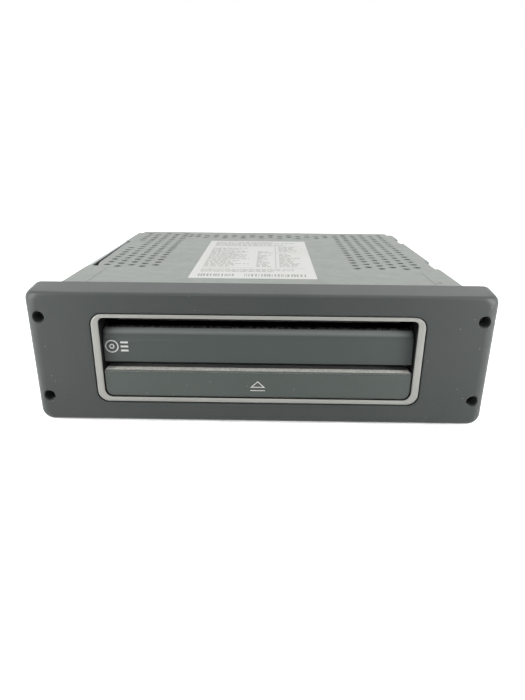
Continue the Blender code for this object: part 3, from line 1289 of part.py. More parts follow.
def mech_deck():
    """Stamped deck plate with ears, side flanges and openings for the turntable and pickup."""
    shape = bmesh.new()
    add_box(shape, (-DECK_HALF, DECK_HALF), (DECK_START, DECK_END), (DECK_UNDER, DECK_TOP))
    deck = finish("mech_deck", shape, zinc_steel())

    ears = bmesh.new()
    for side in (-1, 1):
        across = sorted((side * (DECK_HALF - JOIN_OVERLAP), side * (DECK_HALF + DECK_EAR_WIDTH)))
        for y in ear_stations():
            along = (y - DECK_EAR_LENGTH / 2, y + DECK_EAR_LENGTH / 2)
            add_box(ears, across, along, (DECK_UNDER, DECK_TOP))
    join(deck, ears, "deck_ears")

    motor_low = PINION_AXIS[1] - MOTOR_DIAMETER / 2
    motor_back = PINION_AXIS[0] + MOTOR_DIAMETER / 2
    left = bmesh.new()
    add_prism(left, flange_outline(motor_back, motor_low), "X", -FLANGE_OUT, -FLANGE_IN)
    join(deck, left, "deck_flange_left")
    right = bmesh.new()
    add_prism(right, flange_outline(motor_back, DECK_UNDER - DECK_SHEET), "X", FLANGE_IN, FLANGE_OUT)
    join(deck, right, "deck_flange_right")

    holes = bmesh.new()
    reach = FLANGE_OUT + CUT_OVERRUN
    left_run = (-reach, CUT_OVERRUN - FLANGE_IN)
    outline = circle(ROLLER_AXIS, BEARING_DIAMETER / 2 + SEAT_GAP, ROUND_STEPS)
    add_prism(holes, outline, "X", -reach, reach)
    add_prism(holes, circle(PINION_AXIS, MOTOR_BOSS / 2 + SEAT_GAP, ROUND_STEPS), "X", *left_run)
    add_prism(holes, circle(IDLER_AXIS, IDLER_PIN / 2 + SEAT_GAP, SMALL_STEPS), "X", *left_run)
    cut(deck, holes, "deck_flange_holes")

    floor_holes = bmesh.new()
    run = (DECK_UNDER - CUT_OVERRUN, DECK_TOP + CUT_OVERRUN)
    outline = circle((0.0, DISC_Y), TURNTABLE_HUB / 2 + RUNNING_GAP, ROUND_STEPS)
    add_prism(floor_holes, outline, "Z", *run)
    lens_half = SLED_WAIST / 2 + RUNNING_GAP
    lens_front = HOLDER_START + HOLDER_THICKNESS
    lens_back = HOLDER_START + ROD_LENGTH - HOLDER_THICKNESS
    add_box(floor_holes, (-lens_half, lens_half), (lens_front, lens_back), run)
    cut(deck, floor_holes, "deck_openings")
    return deck


def roller_bearings():
    """Flanged bushes that carry the roller shaft in the deck's flanges."""
    bore = SHAFT_DIAMETER / 2 + SEAT_GAP
    flange = BEARING_FLANGE / 2
    body = BEARING_DIAMETER / 2
    for side, label in ((-1, "left"), (1, "right")):
        outer = side * (FLANGE_OUT + BEARING_WIDTH)
        sheet = side * (FLANGE_OUT + SEAT_GAP)
        inner = side * (FLANGE_IN - SEAT_GAP)
        profile = [(flange, outer), (flange, sheet), (body, sheet), (body, inner), (bore, inner),
                   (bore, outer)]
        shape = bmesh.new()
        add_turned(shape, profile, ROLLER_AXIS, "X", closed=True)
        finish("roller_bearing_" + label, shape, white_plastic(), smooth=30.0)


def gear_outline(centre, teeth, turn):
    """Trapezoid teeth on a pitch circle, as pairs."""
    pitch = pitch_radius(teeth)
    tip = pitch + GEAR_MODULE * GEAR_ADDENDUM_SHARE
    root = pitch - GEAR_MODULE * GEAR_DEDENDUM_SHARE
    step = 2 * math.pi / teeth
    corners = ((root, -GEAR_ROOT_SHARE), (tip, -GEAR_TIP_SHARE), (tip, GEAR_TIP_SHARE),
               (root, GEAR_ROOT_SHARE))
    points = []
    for tooth in range(teeth):
        for radius, share in corners:
            angle = turn + (tooth + share) * step
            points.append((centre[0] + radius * math.cos(angle), centre[1] + radius * math.sin(angle)))
    return points


def meshing_turns():
    """Turn angles that set each gear's teeth in the next one's gaps."""
    down = -math.radians(IDLER_DROP_ANGLE)
    roller_turn = down
    idler_step = 2 * math.pi / IDLER_TEETH
    idler_turn = down + math.pi + idler_step / 2
    second = -math.radians(PINION_DROP_ANGLE)
    teeth_from_line = (second - idler_turn) / idler_step
    share = teeth_from_line - math.floor(teeth_from_line)
    pinion_turn = second + math.pi + (share + 0.5) * 2 * math.pi / PINION_TEETH
    return roller_turn, idler_turn, pinion_turn


def gear(name, centre, teeth, turn, bore):
    """Spur gear with a bore on an axis along X."""
    outer = GEAR_X
    shape = bmesh.new()
    add_prism(shape, gear_outline(centre, teeth, turn), "X", outer - GEAR_WIDTH, outer)
    made = finish(name, shape, white_plastic(), (outer, *centre))
    hole = bmesh.new()
    outline = circle(centre, bore / 2 + SEAT_GAP, SMALL_STEPS)
    add_prism(hole, outline, "X", outer - GEAR_WIDTH - CUT_OVERRUN, outer + CUT_OVERRUN)
    return cut(made, hole, name + "_bore")


def loading_gears():
    """Pinion, idler and roller gear in one plane outside the left flange."""
    roller_turn, idler_turn, pinion_turn = meshing_turns()
    gear("roller_gear", ROLLER_AXIS, ROLLER_TEETH, roller_turn, SHAFT_DIAMETER)
    gear("idler_gear", IDLER_AXIS, IDLER_TEETH, idler_turn, IDLER_PIN)
    gear("motor_pinion", PINION_AXIS, PINION_TEETH, pinion_turn, MOTOR_SHAFT)


def idler_pin():
    """Headed pin riveted through the left flange that the idler turns on."""
    head = IDLER_HEAD / 2
    pin = IDLER_PIN / 2
    sheet_out = -FLANGE_OUT - SEAT_GAP
    sheet_in = SEAT_GAP - FLANGE_IN
    gear_in = GEAR_X + SEAT_GAP
    gear_out = GEAR_X - GEAR_WIDTH - SEAT_GAP
    profile = [(head, sheet_in + IDLER_HEAD_THICKNESS), (head, sheet_in), (pin, sheet_in), (pin, sheet_out),
               (head, sheet_out), (head, gear_in), (pin, gear_in), (pin, gear_out), (head, gear_out),
               (head, gear_out - IDLER_HEAD_THICKNESS)]
    shape = bmesh.new()
    add_turned(shape, profile, IDLER_AXIS, "X", SMALL_STEPS)
    return finish("idler_pin", shape, bright_steel(), smooth=30.0)


def loading_motor():
    """Round motor on the inside of the left flange, its shaft through the pinion."""
    shaft = MOTOR_SHAFT / 2
    boss = MOTOR_BOSS / 2
    can = MOTOR_DIAMETER / 2
    face = SEAT_GAP - FLANGE_IN
    end = face + MOTOR_LENGTH
    profile = [(shaft, GEAR_X - GEAR_WIDTH), (shaft, -FLANGE_OUT), (boss, -FLANGE_OUT), (boss, face),
               (can, face), (can, end), (boss, end), (boss, end + MOTOR_TAIL)]
    shape = bmesh.new()
    add_turned(shape, profile, PINION_AXIS, "X")
    return finish("loading_motor", shape, bright_steel(), smooth=30.0)


def roller():
    """Steel shaft with two rubber rollers that are thinner towards the middle."""
    radius = SHAFT_DIAMETER / 2
    end = FLANGE_OUT + BEARING_WIDTH + SHAFT_END
    shape = bmesh.new()
    add_turned(shape, [(radius, GEAR_X - GEAR_WIDTH), (radius, end)], ROLLER_AXIS, "X")
    finish("roller_shaft", shape, bright_steel(), (0.0, *ROLLER_AXIS), smooth=30.0)
    bore = radius + SEAT_GAP
    for side, label in ((-1, "left"), (1, "right")):
        inner = side * ROLLER_MIDDLE_GAP / 2
        outer = inner + side * ROLLER_LENGTH
        profile = [(ROLLER_MID_DIAMETER / 2, inner), (ROLLER_END_DIAMETER / 2, outer), (bore, outer),
                   (bore, inner)]
        shape = bmesh.new()
        add_turned(shape, profile, ROLLER_AXIS, "X", closed=True)
        finish("loading_roller_" + label, shape, rubber(), (0.0, *ROLLER_AXIS), smooth=30.0)


def spindle_motor():
    """Flat motor hung under the deck, its shaft up into the turntable."""
    top = DECK_UNDER - SEAT_GAP
    low = top - SPINDLE_MOTOR_HEIGHT
    radius = SPINDLE_MOTOR_DIAMETER / 2
    shaft = SPINDLE_SHAFT / 2
    profile = [(radius - SPINDLE_MOTOR_EDGE, low), (radius, low + SPINDLE_MOTOR_EDGE), (radius, top),
               (shaft, top), (shaft, DECK_TOP + SPINDLE_SHAFT_TOP)]
    shape = bmesh.new()
    add_turned(shape, profile, (0.0, DISC_Y), "Z", FINE_STEPS)
    return finish("spindle_motor", shape, bright_steel(), smooth=30.0)


def turntable():
    """Turntable with a hub bored for the motor's shaft and a centring cone."""
    rim = TURNTABLE_DIAMETER / 2
    hub = TURNTABLE_HUB / 2
    cone = TURNTABLE_CONE / 2
    bore = SPINDLE_SHAFT / 2 + SEAT_GAP
    low = DECK_UNDER + SEAT_GAP
    under = TURNTABLE_TOP - TURNTABLE_RIM
    bore_end = DECK_TOP + SPINDLE_SHAFT_TOP + SEAT_GAP
    profile = [(bore, bore_end), (bore, low), (hub, low), (hub, under), (rim, under), (rim, TURNTABLE_TOP),
               (cone, TURNTABLE_TOP), (cone * CONE_TOP_SHARE, TURNTABLE_TOP + TURNTABLE_CONE_HEIGHT)]
    shape = bmesh.new()
    add_turned(shape, profile, (0.0, DISC_Y), "Z", FINE_STEPS)
    return finish("turntable", shape, black_plastic(), (0.0, DISC_Y, TURNTABLE_TOP), smooth=30.0)


def disc_guide():
    """Upper moulded guide: plate over the disc, side rails and four legs on the deck."""
    shape = bmesh.new()
    half = GUIDE_WIDTH / 2
    front = CASE_FRONT + GUIDE_FRONT
    back = front + GUIDE_LENGTH
    add_box(shape, (-half, half), (front, back), (GUIDE_UNDER, GUIDE_TOP))
    guide = finish("disc_guide", shape, black_plastic())
    rails = bmesh.new()
    legs = bmesh.new()
    for side in (-1, 1):
        rail = sorted((side * (half - GUIDE_RAIL), side * half))
        add_box(rails, rail, (front, back), (GUIDE_UNDER - GUIDE_RAIL_DROP, GUIDE_UNDER + JOIN_OVERLAP))
        for station in (GUIDE_LEG_FRONT, GUIDE_LEG_REAR):
            y = CASE_FRONT + station
            add_box(legs, rail, (y, y + GUIDE_LEG), (DECK_TOP + SEAT_GAP, GUIDE_UNDER + JOIN_OVERLAP))
    join(guide, rails, "guide_rails")
    join(guide, legs, "guide_legs")
    window = bmesh.new()
    run = (GUIDE_UNDER - CUT_OVERRUN, GUIDE_TOP + CUT_OVERRUN)
    add_prism(window, circle((0.0, DISC_Y), GUIDE_WINDOW / 2, FINE_STEPS), "Z", *run)
    cut(guide, window, "guide_window")
    notch = bmesh.new()
    half = CLAMP_BRACKET_WIDTH / 2 + RUNNING_GAP
    add_box(notch, (-half, half), (CLAMP_Y - CLAMP_BRACKET_LENGTH, back + CUT_OVERRUN), run)
    return cut(guide, notch, "guide_rear_notch")


def pin_clearance():
    """Outline of the hole that the clamp's pivot pin runs through."""
    return circle((CLAMP_Y, CLAMP_Z), CLAMP_PIN / 2 + SEAT_GAP, SMALL_STEPS)


def clamp_bracket():
    """U-shaped bracket on the deck whose cheeks hold the clamp's pivot pin."""
    half = CLAMP_BRACKET_WIDTH / 2
    length = CLAMP_BRACKET_LENGTH / 2
    cheek = half - ARM_SHEET
    foot = DECK_TOP + SEAT_GAP
    foot_top = foot + ARM_SHEET
    outline = [(-half, foot), (half, foot), (half, CHEEK_TOP), (cheek, CHEEK_TOP), (cheek, foot_top),
               (-cheek, foot_top), (-cheek, CHEEK_TOP), (-half, CHEEK_TOP)]
    shape = bmesh.new()
    add_prism(shape, outline, "Y", CLAMP_Y - length, CLAMP_Y + length)
    bracket = finish("clamp_bracket", shape, zinc_steel())
    hole = bmesh.new()
    reach = half + CUT_OVERRUN
    add_prism(hole, pin_clearance(), "X", -reach, reach)
    return cut(bracket, hole, "bracket_hole")


def clamp_pin():
    """Pivot pin with a head at each end, outside the bracket's cheeks."""
    half = CLAMP_BRACKET_WIDTH / 2 + SEAT_GAP
    end = half + CLAMP_PIN_HEAD_THICKNESS
    radius = CLAMP_PIN / 2
    head = CLAMP_PIN_HEAD / 2
    shape = bmesh.new()
    profile = [(head, -end), (head, -half), (radius, -half), (radius, half), (head, half), (head, end)]
    add_turned(shape, profile, (CLAMP_Y, CLAMP_Z), "X", SMALL_STEPS)
    return finish("clamp_pin", shape, bright_steel(), smooth=30.0)


def clamp_arm():
    """Channel-shaped arm from the rear pivot to the puck over the disc's centre."""
    half = ARM_WIDTH / 2
    wall = half - ARM_SHEET
    front = DISC_Y - ARM_FRONT_OVERHANG
    outline = [(-half, ARM_UNDER), (half, ARM_UNDER), (half, CHEEK_TOP), (wall, CHEEK_TOP), (wall, ARM_TOP),
               (-wall, ARM_TOP), (-wall, CHEEK_TOP), (-half, CHEEK_TOP)]
    back = CLAMP_Y + CLAMP_PIN
    shape = bmesh.new()
    add_prism(shape, outline, "Y", front, back)
    arm = finish("clamp_arm", shape, zinc_steel(), (0.0, CLAMP_Y, CLAMP_Z))
    holes = bmesh.new()
    reach = half + CUT_OVERRUN
    add_prism(holes, pin_clearance(), "X", -reach, reach)
    cut(arm, holes, "arm_pivot_hole")
    hub = bmesh.new()
    outline = circle((0.0, DISC_Y), PUCK_NECK / 2 + RUNNING_GAP, ROUND_STEPS)
    add_prism(hub, outline, "Z", ARM_UNDER - CUT_OVERRUN, ARM_TOP + CUT_OVERRUN)
    return cut(arm, hub, "arm_hub_hole")


def clamp_puck():
    """Spinning puck hung in the arm by its neck and head."""
    bottom = TURNTABLE_TOP + PUCK_LIFT
    head = ARM_TOP + SEAT_GAP
    shoulder = bottom + PUCK_THICKNESS
    shape = bmesh.new()
    cone = TURNTABLE_CONE / 2 + RUNNING_GAP
    relief = TURNTABLE_CONE_HEIGHT + SEAT_GAP
    rim = PUCK_DIAMETER / 2
    profile = [(cone * CONE_TOP_SHARE, bottom + relief), (cone, bottom), (rim, bottom),
               (rim, shoulder - relief), (PUCK_SHOULDER / 2, shoulder), (PUCK_NECK / 2, shoulder),
               (PUCK_NECK / 2, head), (PUCK_HEAD / 2, head), (PUCK_HEAD / 2, head + PUCK_HEAD_THICKNESS)]
    add_turned(shape, profile, (0.0, DISC_Y), "Z", FINE_STEPS)
    return finish("clamp_puck", shape, black_plastic(), (0.0, DISC_Y, head), smooth=30.0)


def clamp_spring():
    """Torsion spring wound on the pivot pin between the arm's cheeks."""
    radius = CLAMP_PIN / 2 + SEAT_GAP + SPRING_WIRE / 2
    count = SPRING_TURNS * SPRING_POINTS_PER_TURN
    shape = bmesh.new()
    rings = []
    for index in range(count + 1):
        turn = 2 * math.pi * index / SPRING_POINTS_PER_TURN
        x = SPRING_LENGTH * (index / count - 0.5)
        out = Vector((0.0, math.cos(turn), math.sin(turn)))
        centre = Vector((x, CLAMP_Y, CLAMP_Z)) + out * radius
        ring = []
        for corner in range(SPRING_SIDES):
            angle = 2 * math.pi * corner / SPRING_SIDES
            offset = out * math.cos(angle) + Vector((math.sin(angle), 0.0, 0.0))
            ring.append(centre + offset * SPRING_WIRE / 2)
        rings.append(ring)
    add_rings(shape, rings)
    return finish("clamp_spring", shape, bright_steel(), smooth=60.0)


def rod_holders():
    """Two moulded blocks under the deck that hold the guide rods and the lead screw."""
    low = ROD_Z - ROD_DIAMETER
    high = DECK_UNDER - SEAT_GAP
    half = ROD_SPACING / 2 + ROD_DIAMETER
    right = LEAD_SCREW_OFFSET + ROD_DIAMETER
    rear = HOLDER_START + ROD_LENGTH
    for label, start in (("front", HOLDER_START), ("rear", rear - HOLDER_THICKNESS)):
        shape = bmesh.new()
        add_box(shape, (-half, right), (start, start + HOLDER_THICKNESS), (low, high))
        holder = finish("rod_holder_" + label, shape, black_plastic())
        bores = bmesh.new()
        run = (start - CUT_OVERRUN, start + HOLDER_THICKNESS + CUT_OVERRUN)
        for x in (-ROD_SPACING / 2, ROD_SPACING / 2):
            add_prism(bores, circle((x, ROD_Z), ROD_DIAMETER / 2 + SEAT_GAP, SMALL_STEPS), "Y", *run)
        outline = circle((LEAD_SCREW_OFFSET, ROD_Z), LEAD_SCREW_DIAMETER / 2 + SEAT_GAP, SMALL_STEPS)
        add_prism(bores, outline, "Y", *run)
        cut(holder, bores, "holder_bores_" + label)


def guide_rods():
    """Two ground rods that the sled slides on."""
    for side, label in ((-1, "left"), (1, "right")):
        profile = [(ROD_DIAMETER / 2, HOLDER_START), (ROD_DIAMETER / 2, HOLDER_START + ROD_LENGTH)]
        shape = bmesh.new()
        add_turned(shape, profile, (side * ROD_SPACING / 2, ROD_Z), "Y")
        finish("guide_rod_" + label, shape, bright_steel(), smooth=30.0)


def lead_screw():
    """Feed screw that turns in the bores of both holders."""
    radius = LEAD_SCREW_DIAMETER / 2
    end = HOLDER_START + ROD_LENGTH + SEAT_GAP
    shape = bmesh.new()
    profile = [(radius, HOLDER_START), (radius, end)]
    add_turned(shape, profile, (LEAD_SCREW_OFFSET, ROD_Z), "Y", SMALL_STEPS)
    return finish("lead_screw", shape, bright_steel(), (LEAD_SCREW_OFFSET, HOLDER_START, ROD_Z), smooth=30.0)


def sled_motor():
    """Small motor behind the rear holder, in line with the feed screw that it turns."""
    face = HOLDER_START + ROD_LENGTH + 2 * SEAT_GAP
    end = face + SLED_MOTOR_LENGTH
    radius = SLED_MOTOR_DIAMETER / 2
    tail = LEAD_SCREW_DIAMETER / 2
    profile = [(radius - SLED_MOTOR_EDGE, face), (radius, face + SLED_MOTOR_EDGE), (radius, end), (tail, end),
               (tail, end + SLED_MOTOR_TAIL)]
    shape = bmesh.new()
    add_turned(shape, profile, (LEAD_SCREW_OFFSET, ROD_Z), "Y")
    return finish("sled_motor", shape, bright_steel(), smooth=30.0)


def pickup_sled():
    """Sled with rod bores at its sides, a raised middle for the lens and a screw nut arm."""
    half = SLED_WIDTH / 2
    front = SLED_Y - SLED_LENGTH / 2
    back = SLED_Y + SLED_LENGTH / 2
    low = ROD_Z - SLED_HEIGHT / 2
    high = ROD_Z + SLED_HEIGHT / 2
    waist = SLED_WAIST / 2
    top = DECK_UNDER - RUNNING_GAP
    crest = waist - SLED_WAIST_EDGE
    outline = [(-half, low), (half, low), (half, high), (waist, high), (crest, top), (-crest, top),
               (-waist, high), (-half, high)]
    shape = bmesh.new()
    add_prism(shape, outline, "Y", front, back)
    origin = (0.0, SLED_Y, ROD_Z)
    sled = finish("pickup_sled", shape, black_plastic(), origin)
    nut = bmesh.new()
    nut_end = LEAD_SCREW_OFFSET + (SCREW_NUT_ARM + LEAD_SCREW_DIAMETER) / 2
    add_box(nut, (half - JOIN_OVERLAP, nut_end), (SLED_Y - SCREW_NUT_ARM / 2, SLED_Y + SCREW_NUT_ARM / 2),
            (low, high))
    join(sled, nut, "sled_nut")
    bores = bmesh.new()
    run = (front - CUT_OVERRUN, back + CUT_OVERRUN)
    for x in (-ROD_SPACING / 2, ROD_SPACING / 2):
        add_prism(bores, circle((x, ROD_Z), ROD_DIAMETER / 2 + RUNNING_GAP, ROUND_STEPS), "Y", *run)
    outline = circle((LEAD_SCREW_OFFSET, ROD_Z), LEAD_SCREW_DIAMETER / 2 + RUNNING_GAP, SMALL_STEPS)
    add_prism(bores, outline, "Y", *run)
    cut(sled, bores, "sled_bores")
    well = bmesh.new()
    side = LENS_BLOCK / 2 + LENS_STROKE + RUNNING_GAP
    well_floor = top - LENS_BLOCK_HEIGHT / 2 - LENS_STROKE - SEAT_GAP
    add_box(well, (-side, side), (SLED_Y - side, SLED_Y + side), (well_floor, top + CUT_OVERRUN))
    return cut(sled, well, "lens_well")


def lens_holder():
    """Floating lens block with a domed objective lens on top."""
    side = LENS_BLOCK / 2
    low = DECK_UNDER - RUNNING_GAP - LENS_BLOCK_HEIGHT / 2
    high = low + LENS_BLOCK_HEIGHT
    shape = bmesh.new()
    add_box(shape, (-side, side), (SLED_Y - side, SLED_Y + side), (low, high))
    holder = finish("lens_holder", shape, lens_glass(), (0.0, SLED_Y, high))
    dome = bmesh.new()
    radius = LENS_DIAMETER / 2
    profile = [(radius, high - JOIN_OVERLAP)]
    for index in range(LENS_STEPS + 1):
        angle = math.radians(LENS_ARC * index / LENS_STEPS)
        profile.append((radius * math.cos(angle), high + LENS_DOME * math.sin(angle)))
    add_turned(dome, profile, (0.0, SLED_Y), "Z", SMALL_STEPS)
    return join(holder, dome, "lens_dome")


def build():
    """Build every piece of the unit."""
    clear_scene()
    front_fascia()
    trim_ring()
    slot_panel()
    slot_felt()
    eject_button()
    switch_board()
    tact_switches()
    chassis_tray()
    top_cover()
    main_board()
    filter_capacitors()
    board_blocks()
    heat_sink()
    main_connector()
    antenna_socket()
    rear_stud()
    deck_brackets()
    dampers()
    mech_deck()
    roller_bearings()
    roller()
    loading_gears()
    idler_pin()
    loading_motor()
    spindle_motor()
    turntable()
    disc_guide()
    clamp_bracket()
    clamp_pin()
    clamp_arm()
    clamp_puck()
    clamp_spring()
    rod_holders()
    guide_rods()
    lead_screw()
    sled_motor()
    pickup_sled()
    lens_holder()


build()
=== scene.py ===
"""Slot-loading car CD radio on a pale bench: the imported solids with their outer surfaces."""
import math

import bmesh
import bpy
import numpy as np
from mathutils import Matrix, Vector, geometry


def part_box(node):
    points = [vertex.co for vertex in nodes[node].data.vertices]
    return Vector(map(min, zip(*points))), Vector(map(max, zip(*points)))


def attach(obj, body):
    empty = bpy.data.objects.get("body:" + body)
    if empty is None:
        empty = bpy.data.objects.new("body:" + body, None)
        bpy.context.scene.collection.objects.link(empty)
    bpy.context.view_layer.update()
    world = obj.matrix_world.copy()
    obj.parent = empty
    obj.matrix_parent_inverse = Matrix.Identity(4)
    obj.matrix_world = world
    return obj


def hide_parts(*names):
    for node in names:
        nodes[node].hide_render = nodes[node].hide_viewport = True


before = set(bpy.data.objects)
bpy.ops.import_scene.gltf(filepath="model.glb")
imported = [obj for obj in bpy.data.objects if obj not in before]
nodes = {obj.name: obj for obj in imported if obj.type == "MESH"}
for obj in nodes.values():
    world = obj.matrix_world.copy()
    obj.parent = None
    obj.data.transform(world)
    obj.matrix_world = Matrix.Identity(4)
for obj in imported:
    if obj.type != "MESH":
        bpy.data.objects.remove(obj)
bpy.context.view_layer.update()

# FASCIA
# One injection moulding in charcoal ABS, open at the back, with soft side edges and a fine
# spark-eroded grain. Four screws through its bosses hold the unit to the dashboard, and two
# hooked clips on its back hold it to the steel case.
MM = 0.001
FRONT = -90.7 * MM
FASCIA_HALF = 100.6 * MM
FASCIA_HEIGHT = 59.5 * MM
FASCIA_DEPTH = 13.0 * MM
FASCIA_DRAFT = 1.8 * MM
FASCIA_WALL = 2.2 * MM
FASCIA_CORNER = 4.2 * MM
FASCIA_ROUNDS = (5.5 * MM, 1.7 * MM, 1.3 * MM)
HOLE_X = 94.5 * MM
HOLE_ROWS = (11.8 * MM, 48.7 * MM)
WINDOW_X = -1.1 * MM
WINDOW_HALF = 68.0 * MM
WINDOW_LOW = 11.8 * MM
WINDOW_HIGH = 48.4 * MM
WINDOW_CORNER = 3.0 * MM
RING_HALF = 71.2 * MM
RING_LOW = 9.8 * MM
RING_HIGH = 50.4 * MM
RING_CORNER = 5.0 * MM
SKIRT_GROW = 1.4 * MM
SEAT_DEPTH = 1.1 * MM
RIB_ROOT = FRONT + 1.9 * MM
CLIP_TIP = FRONT + 24.0 * MM
CLIP_LOW, CLIP_HIGH = 26.0 * MM, 34.0 * MM


def rounded_contour(half, low, high, radius, top_radius=None, middle=0.0, corner_steps=10, side_steps=16):
    """Outline of a rectangle with round corners, counter-clockwise from the lower right:
    each corner is its centre plus its radius * (cos t, sin t) over a quarter turn, and each
    straight side is split evenly, so that all such outlines have points that match."""
    upper = radius if top_radius is None else top_radius
    radii = (radius, upper, upper, radius)
    signs = ((1, 0), (1, 1), (-1, 1), (-1, 0))
    centres = [np.array((middle + side * (half - reach), high - reach if above else low + reach))
               for reach, (side, above) in zip(radii, signs)]
    quarter = np.linspace(0.0, math.pi / 2, corner_steps + 1)
    share = np.linspace(0.0, 1.0, side_steps + 1)[1:-1, None]
    runs = []
    for number, (centre, reach) in enumerate(zip(centres, radii)):
        turn = quarter + (number - 1) * math.pi / 2
        arc = centre + reach * np.stack([np.cos(turn), np.sin(turn)], axis=1)
        away = np.array([math.cos(turn[-1]), math.sin(turn[-1])])
        following = centres[(number + 1) % 4] + radii[(number + 1) % 4] * away
        runs += [arc, arc[-1] * (1.0 - share) + following * share]
    return np.concatenate(runs)


def seen_from_front(a, b, c):
    """Puts outline points at X = a, Z = b, on the station Y = c."""
    return np.stack([a, np.full_like(a, c), b], axis=-1)


def seen_from_side(a, b, c):
    """Puts outline points at Y = a, Z = b, on the station X = c."""
    return np.stack([np.full_like(a, c), a, b], axis=-1)


def seen_from_top(a, b, c):
    """Puts outline points at X = a, Y = b, on the level Z = c."""
    return np.stack([a, b, np.full_like(a, c)], axis=-1)


def swept(rings, closed=False):
    """Skin of a stack of rings, an (R, N, 3) array: point (r, n) joins (r, n + 1),
    (r + 1, n + 1) and (r + 1, n), and n runs round. A closed stack joins its last ring to
    its first, and an open one gets a flat cap on each end."""
    rings = np.asarray(rings)
    count, around = rings.shape[:2]
    r = np.arange(count if closed else count - 1)[:, None]
    n = np.arange(around)[None, :]
    beside = (n + 1) % around
    above = (r + 1) % count
    quads = np.stack([r * around + n, r * around + beside, above * around + beside, above * around + n], axis=-1)
    loops = quads.reshape(-1)
    counts = np.full(quads.shape[0] * around, 4)
    if not closed:
        caps = np.concatenate([np.arange(around)[::-1], (count - 1) * around + np.arange(around)])
        loops = np.concatenate([loops, caps])
        counts = np.concatenate([counts, [around, around]])
    return rings.reshape(-1, 3), loops, counts


def turned(profile, centre, place, steps=48, closed=False):
    """Turns a profile of (radius, station) pairs about an axis: ring r is the centre plus
    radius * (cos t, sin t), placed on that station."""
    angle = np.linspace(0.0, 2 * math.pi, steps, endpoint=False)
    rings = [place(centre[0] + radius * np.cos(angle), centre[1] + radius * np.sin(angle), station)
             for radius, station in profile]
    return swept(rings, closed)


def slab(outlines, place, start, end):
    """A flat region carried from start to end. The first outline less the others is cut
    into triangles that close both faces, and one wall runs along every outline."""
    points = np.concatenate(outlines)
    ends = np.cumsum([0] + [len(outline) for outline in outlines])
    spans = [np.arange(low, high) for low, high in zip(ends[:-1], ends[1:])]
    edges = np.concatenate([np.stack([span, np.roll(span, -1)], axis=1) for span in spans])
    flat = [[Vector((*point, 0.0)) for point in outline * 1000.0] for outline in outlines]
    triangles = np.array(geometry.tessellate_polygon(flat))
    offset = len(points)
    walls = np.stack([edges[:, 0], edges[:, 1], edges[:, 1] + offset, edges[:, 0] + offset], axis=1)
    low = place(*points.T, start)
    high = place(*points.T, end)
    loops = np.concatenate([triangles[:, ::-1].ravel(), (triangles + offset).ravel(), walls.ravel()])
    counts = np.concatenate([np.full(2 * len(triangles), 3), np.full(len(walls), 4)])
    return np.concatenate([low, high]), loops, counts


def block(across, along, up, edge=0.15 * MM):
    """Box between two X, two Y and two Z values, with every edge chamfered: the rings are
    its plan drawn in by the chamfer at the top and bottom."""
    middle = (across[0] + across[1]) / 2
    half = (across[1] - across[0]) / 2
    rings = []
    for level, inset in ((up[0], edge), (up[0] + edge, 0.0), (up[1] - edge, 0.0), (up[1], edge)):
        plan = rounded_contour(half - inset, along[0] + inset, along[1] - inset, edge, None, middle, 2, 1)
        rings.append(seen_from_top(*plan.T, level))
    return swept(rings)


def shell_mesh(name, shells):
    """One mesh from closed shells of (points, loops, counts), with its faces outwards."""
    points = np.concatenate([shell[0] for shell in shells])
    starts = np.cumsum([0] + [len(shell[0]) for shell in shells])
    loops = np.concatenate([shell[1] + start for shell, start in zip(shells, starts)])
    counts = np.concatenate([shell[2] for shell in shells])
    mesh = bpy.data.meshes.new(name)
    mesh.vertices.add(len(points))
    mesh.vertices.foreach_set("co", points.ravel())
    mesh.loops.add(len(loops))
    mesh.loops.foreach_set("vertex_index", loops)
    mesh.polygons.add(len(counts))
    mesh.polygons.foreach_set("loop_start", np.cumsum(counts) - counts)
    mesh.update(calc_edges=True)
    shape = bmesh.new()
    shape.from_mesh(mesh)
    bmesh.ops.recalc_face_normals(shape, faces=shape.faces)
    shape.to_mesh(mesh)
    shape.free()
    return mesh


def shade(piece, angle):
    """Smooth shading, kept sharp where two faces meet at more than the angle."""
    piece.data.shade_smooth()
    piece.data.set_sharp_from_angle(angle=math.radians(angle))


def make_piece(name, shells, body, skin, stands_for=(), angle=32.0):
    """Object at the origin from closed shells, shaded, riding on a CAD body."""
    piece = bpy.data.objects.new(name, shell_mesh(name, shells))
    bpy.context.scene.collection.objects.link(piece)
    piece.data.materials.append(skin)
    shade(piece, angle)
    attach(piece, body)
    if stands_for:
        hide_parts(*stands_for)
    return piece


def carve(piece, shells, operation, angle=32.0):
    """Cuts or joins closed shells with an exact Boolean, applied to the piece's mesh."""
    tool = bpy.data.objects.new("tool", shell_mesh("tool", shells))
    bpy.context.scene.collection.objects.link(tool)
    step = piece.modifiers.new("carve", "BOOLEAN")
    step.operation = operation
    step.solver = "EXACT"
    step.object = tool
    bpy.context.view_layer.update()
    made = bpy.data.meshes.new_from_object(piece.evaluated_get(bpy.context.evaluated_depsgraph_get()))
    piece.modifiers.clear()
    piece.data = made
    bpy.data.objects.remove(tool)
    shade(piece, angle)


def linear(code):
    """sRGB hex colour as linear red, green, blue and alpha."""
    parts = [int(code[index:index + 2], 16) / 255 for index in (1, 3, 5)]
    return (*[part / 12.92 if part <= 0.04045 else ((part + 0.055) / 1.055) ** 2.4 for part in parts], 1.0)


def start_finish(name, metallic, roughness, **settings):
    """New material with a Principled shader whose steady values are set on its sockets."""
    skin = bpy.data.materials.new(name)
    skin.use_nodes = True
    shader = skin.node_tree.nodes["Principled BSDF"]
    shader.inputs["Metallic"].default_value = metallic
    shader.inputs["Roughness"].default_value = roughness
    for socket, value in settings.items():
        shader.inputs[socket.replace("_", " ")].default_value = value
    return skin, skin.node_tree, shader


